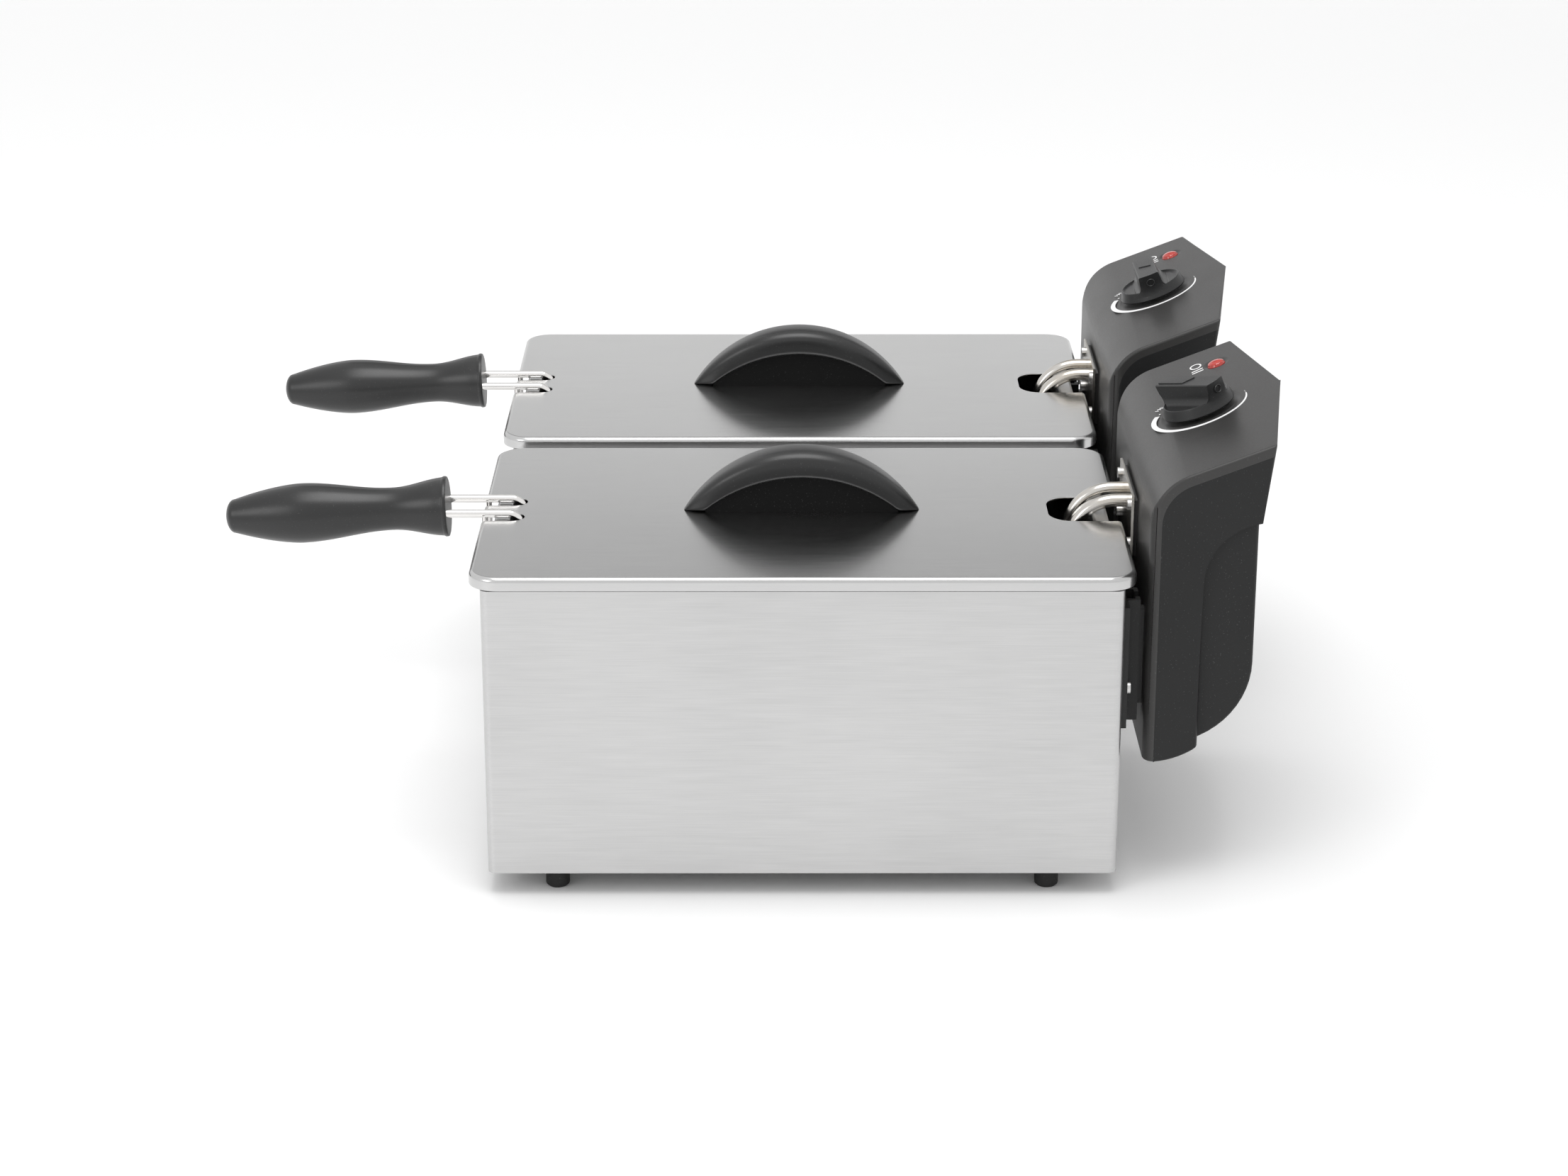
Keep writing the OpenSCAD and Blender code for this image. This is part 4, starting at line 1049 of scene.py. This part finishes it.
for side in SIDES:
    body = "control_unit_" + side
    slope = on_slope(side)
    made = bmesh.new()
    middle = 0.5 * MM
    crescent(made, (middle, 0), dial_r, 91, -119, lambda share: (0.6 + 2.0 * (1 - (1 - share) ** 2.2)) * MM)
    for angle, size in ((95, 0.25 * MM), (99, 0.25 * MM), (-126, 0.5 * MM)):
        spot = (middle + dial_r * math.cos(math.radians(angle)), dial_r * math.sin(math.radians(angle)))
        crescent(made, spot, 0.55 * size, 0, 352, lambda share: 1.05 * size, 14)
    crescent(made, lamp_spot, 2.7 * MM, 0, 359.5, lambda share: 0.75 * MM, 48, 1.25)
    for bar, lean in ((-59.6 * MM, -1.6 * MM), (-56.9 * MM, -1.0 * MM)):
        print_flat(made, [
            (bar, 2.8 * MM), (bar + 1.1 * MM, 2.8 * MM),
            (bar + 1.1 * MM + lean, 8.8 * MM), (bar + lean, 8.8 * MM),
        ])
    bmesh.ops.remove_doubles(made, verts=made.verts, dist=1e-7)
    bmesh.ops.recalc_face_normals(made, faces=made.faces)
    marks = shown("dial_print_" + side, made)
    marks.data.transform(slope)
    finished(marks, dial_ink.material, body, slot="front_plastic")
    words = bpy.data.curves.new("dial_number", "FONT")
    words.body = "190"
    words.size = number_size
    words.extrude = ink_t
    words.align_x = "CENTER"
    words.align_y = "CENTER"
    number = place("dial_number_" + side, words)
    solid = bpy.data.meshes.new_from_object(number.evaluated_get(bpy.context.evaluated_depsgraph_get()))
    bpy.data.objects.remove(number)
    number = place("dial_number_" + side, solid)
    angle = math.radians(number_angle)
    at = (number_r * math.cos(angle), number_r * math.sin(angle), 0)
    number.data.transform(slope @ Matrix.Translation(at) @ Matrix.Rotation(angle + math.radians(270), 4, "Z"))
    finished(number, dial_ink.material, body, slot="front_plastic")

    dome = [(0, -5 * MM), (lens_r, -5 * MM), (lens_r, -0.7 * MM), (lens_r - 0.25 * MM, -0.3 * MM)]
    dome += [
        (lens_r * math.cos(math.radians(a)) * 0.9, lens_rise * math.sin(math.radians(a)))
        for a in range(0, 90, 9)
    ]
    lens = lathe("lens_dome_" + side, dome + [(0, lens_rise)], 64)
    lens.data.transform(slope @ Matrix.Translation((*lens_spot(side).xy, 0)))
    finished(lens, red_lens.material, body, "pilot_lens_" + side, slot="red_lens")


# ------------------------------------------------------------------ knobs
# Each knob is one moulding: a round base with a thin lip, and a finger bar across it
# with sides that sweep into the base. A raised strip on the bar points at the dial.

knob_plastic = moulded("knob_plastic", 0.013, -0.02, 0.34, 0.2, 1500.0, 0.4)
knob_r = 18.0 * MM
taper = 1.6 * MM
lift = 1.2 * MM
base_h = 5.5 * MM
knob_h = 14.0 * MM
bar_half = 5.5 * MM
overhang = 2.0 * MM
flare = 4.2 * MM
dimple_r = 2.0 * MM
dimple_lip = 0.3 * MM
dimple_drop = 4.2 * MM
turned = {"right": 40.0, "left": 0.0}

for side in SIDES:
    slope = on_slope(side)
    rim = knob_r - taper
    floor_z = lift + base_h - 0.9 * MM
    base = lathe("knob_" + side, [
        (0, lift), (knob_r - 0.8 * MM, lift), (knob_r - 0.2 * MM, lift + 0.2 * MM),
        (knob_r, lift + 0.8 * MM), (rim + 0.15 * MM, lift + base_h - 0.5 * MM),
        (rim - 0.1 * MM, lift + base_h - 0.1 * MM), (rim - 0.45 * MM, lift + base_h),
        (rim - 0.9 * MM, lift + base_h - 0.15 * MM), (rim - 1.4 * MM, floor_z + 0.1 * MM),
        (rim - 2.0 * MM, floor_z), (0, floor_z),
    ], 96)
    top = lift + knob_h
    foot = floor_z + flare
    side_y = bar_half + 0.5 * MM
    flank = [(bar_half - 0.6 * MM, top), (bar_half, top - 0.35 * MM), (side_y, foot)]
    for degrees in range(10, 91, 10):
        a = math.radians(degrees)
        flank.append((side_y + 4.0 * MM * (1 - math.cos(a)), foot - flare * math.sin(a)))
    flank.append((flank[-1][0], lift + 2 * MM))
    outline = flank + [(-y, z) for y, z in flank[::-1]]
    reach = knob_r + overhang + MM
    bar = loft("knob_bar", [[(x, y, z) for y, z in outline] for x in (-reach, reach)])
    rings = []
    for height, back, front in (
        (lift + MM, knob_r - 0.15 * MM, knob_r - 0.15 * MM),
        (lift + base_h, rim + 0.1 * MM, rim + 0.1 * MM),
        (top - 4 * MM, rim + 2.4 * MM, rim + 0.8 * MM),
        (top + MM, knob_r + overhang + 0.3 * MM, knob_r - 0.4 * MM),
    ):
        radius, shift = (back + front) / 2, (front - back) / 2
        rings.append([
            (shift + radius * math.cos(math.tau * k / 96), radius * math.sin(math.tau * k / 96), height)
            for k in range(96)
        ])
    trimmed(bar, [loft("knob_round", rings)], "INTERSECT")
    softened(bar, 0.45 * MM, 3, 30.0, 30.0)
    tip, half = -knob_r - MM, 3.3 * MM
    strip = [(tip, -half), (-2.5 * MM, -half), (0.5 * MM, half), (tip, half)]
    pointer = prism("knob_pointer", strip, top - 0.5 * MM, top + 0.45 * MM)
    softened(pointer, 0.25 * MM, 2, 30.0, 30.0)
    lip = ((0, dimple_lip), (dimple_lip, 0), (0, -dimple_lip), (-dimple_lip, 0))
    rings = []
    for k in range(24):
        a = math.tau * k / 24
        rings.append([
            (
                rim + 1.2 * MM + out,
                (dimple_r + wide) * math.cos(a),
                top - dimple_drop + (dimple_r + wide) * math.sin(a) * 0.9,
            )
            for out, wide in lip
        ])
    dimple = loft("knob_dimple", rings, closed_round=True)
    whole = bmesh.new()
    for part in (base, bar, pointer, dimple):
        whole.from_mesh(part.data)
        bpy.data.objects.remove(part)
    knob = shown("knob_moulding_" + side, whole, 32.0)
    knob.data.transform(slope @ Matrix.Rotation(math.radians(turned[side]), 4, "Z"))
    finished(knob, knob_plastic, "knob_" + side, "knob_" + side, slot="knob_plastic")


# ------------------------------------------------------------------ inside and behind
# The thermostat, its thermal cutout and its reset button, and the terminal block sit
# inside each unit. The button and the cable's gland come through the rear shell.

steatite = Finish("steatite", roughness=0.7)
bake = steatite.speckle(260.0, 5.0)
steatite.feed(
    base_color=steatite.blend(bake, (0.52, 0.48, 0.40, 1), (0.68, 0.65, 0.57, 1)),
    normal=steatite.relief(bake, 0.3, 0.0001),
)
nylon = Finish("nylon", roughness=0.45)
cast = nylon.speckle(500.0, 3.0)
nylon.feed(base_color=nylon.blend(cast, (0.66, 0.64, 0.56, 1), (0.75, 0.73, 0.66, 1)))
signal_red = Finish("signal_red", roughness=0.3)
gloss = signal_red.speckle(300.0, 3.0)
signal_red.feed(
    base_color=signal_red.blend(gloss, (0.30, 0.016, 0.012, 1), (0.42, 0.03, 0.02, 1)),
    normal=signal_red.relief(gloss, 0.1, 0.00005),
)
for side in SIDES:
    repaint(steatite.material, "thermostat_" + side, "thermal_cutout_" + side)
    repaint(nylon.material, "terminal_block_" + side)
    repaint(signal_red.material, "reset_button_" + side)


# ------------------------------------------------------------------ studio
# A white floor in a white room, a grey card beyond the far lid, and two soft lights,
# one from above and one from the front.

sweep = bmesh.new()
reach = 7.0
sweep.faces.new([sweep.verts.new((reach * x, reach * y, 0)) for x, y in ((-1, -1), (1, -1), (1, 1), (-1, 1))])
floor = shown("studio_floor", sweep)
paper = Finish("studio_paper", base_color=grey(0.93), roughness=0.35)
floor.data.materials.append(paper.material)

world = bpy.data.worlds.new("studio_air")
bpy.context.scene.world = world
world.use_nodes = True
air = world.node_tree.nodes["Background"]
air.inputs["Color"].default_value = (1.0, 1.0, 1.0, 1.0)
air.inputs["Strength"].default_value = 1.0
bpy.context.scene.view_settings.view_transform = "Standard"


def flag(name, centre, size, level):
    """A studio card that stands across X and shows up only as a soft reflection."""
    card = bmesh.new()
    half = (size[0] / 2, size[1] / 2)
    card.faces.new([
        card.verts.new((centre[0], centre[1] + half[0] * y, centre[2] + half[1] * z))
        for y, z in ((-1, -1), (1, -1), (1, 1), (-1, 1))
    ])
    piece = shown(name, card)
    cloth = Finish(name, base_color=grey(level), roughness=0.9)
    piece.data.materials.append(cloth.material)


flag("far_card", (-2.6, 0.9, 2.1), (3.6, 2.0), 0.42)


def softbox(name, spot, aim, size, power):
    light = bpy.data.lights.new(name, "AREA")
    light.shape = "RECTANGLE"
    light.size, light.size_y = size
    light.energy = power
    lamp = bpy.data.objects.new(name, light)
    lamp.location = spot
    lamp.rotation_mode = "QUATERNION"
    lamp.rotation_quaternion = (Vector(aim) - Vector(spot)).to_track_quat("-Z", "Y")
    bpy.context.scene.collection.objects.link(lamp)


softbox("top_light", (0.3, 0.0, 1.8), (0, 0, 0.1), (0.9, 1.3), 14)
softbox("side_light", (1.3, -1.3, 1.0), (0, 0, 0.1), (0.8, 0.8), 5)

photo_camera = bpy.data.cameras.new("camera")
photo_camera.lens = 79.53
photo_camera.sensor_width = 36.0
photo_camera.clip_start = 0.05
eye = bpy.data.objects.new("camera", photo_camera)
eye.location = (1.71785, -0.01056, 0.69835)
pitch, yaw = math.radians(19.767), math.radians(-0.070)
aim = Vector((-math.cos(pitch) * math.cos(yaw), -math.cos(pitch) * math.sin(yaw), -math.sin(pitch)))
eye.rotation_mode = "QUATERNION"
eye.rotation_quaternion = aim.to_track_quat("-Z", "Y")
bpy.context.scene.collection.objects.link(eye)
bpy.context.scene.camera = eye
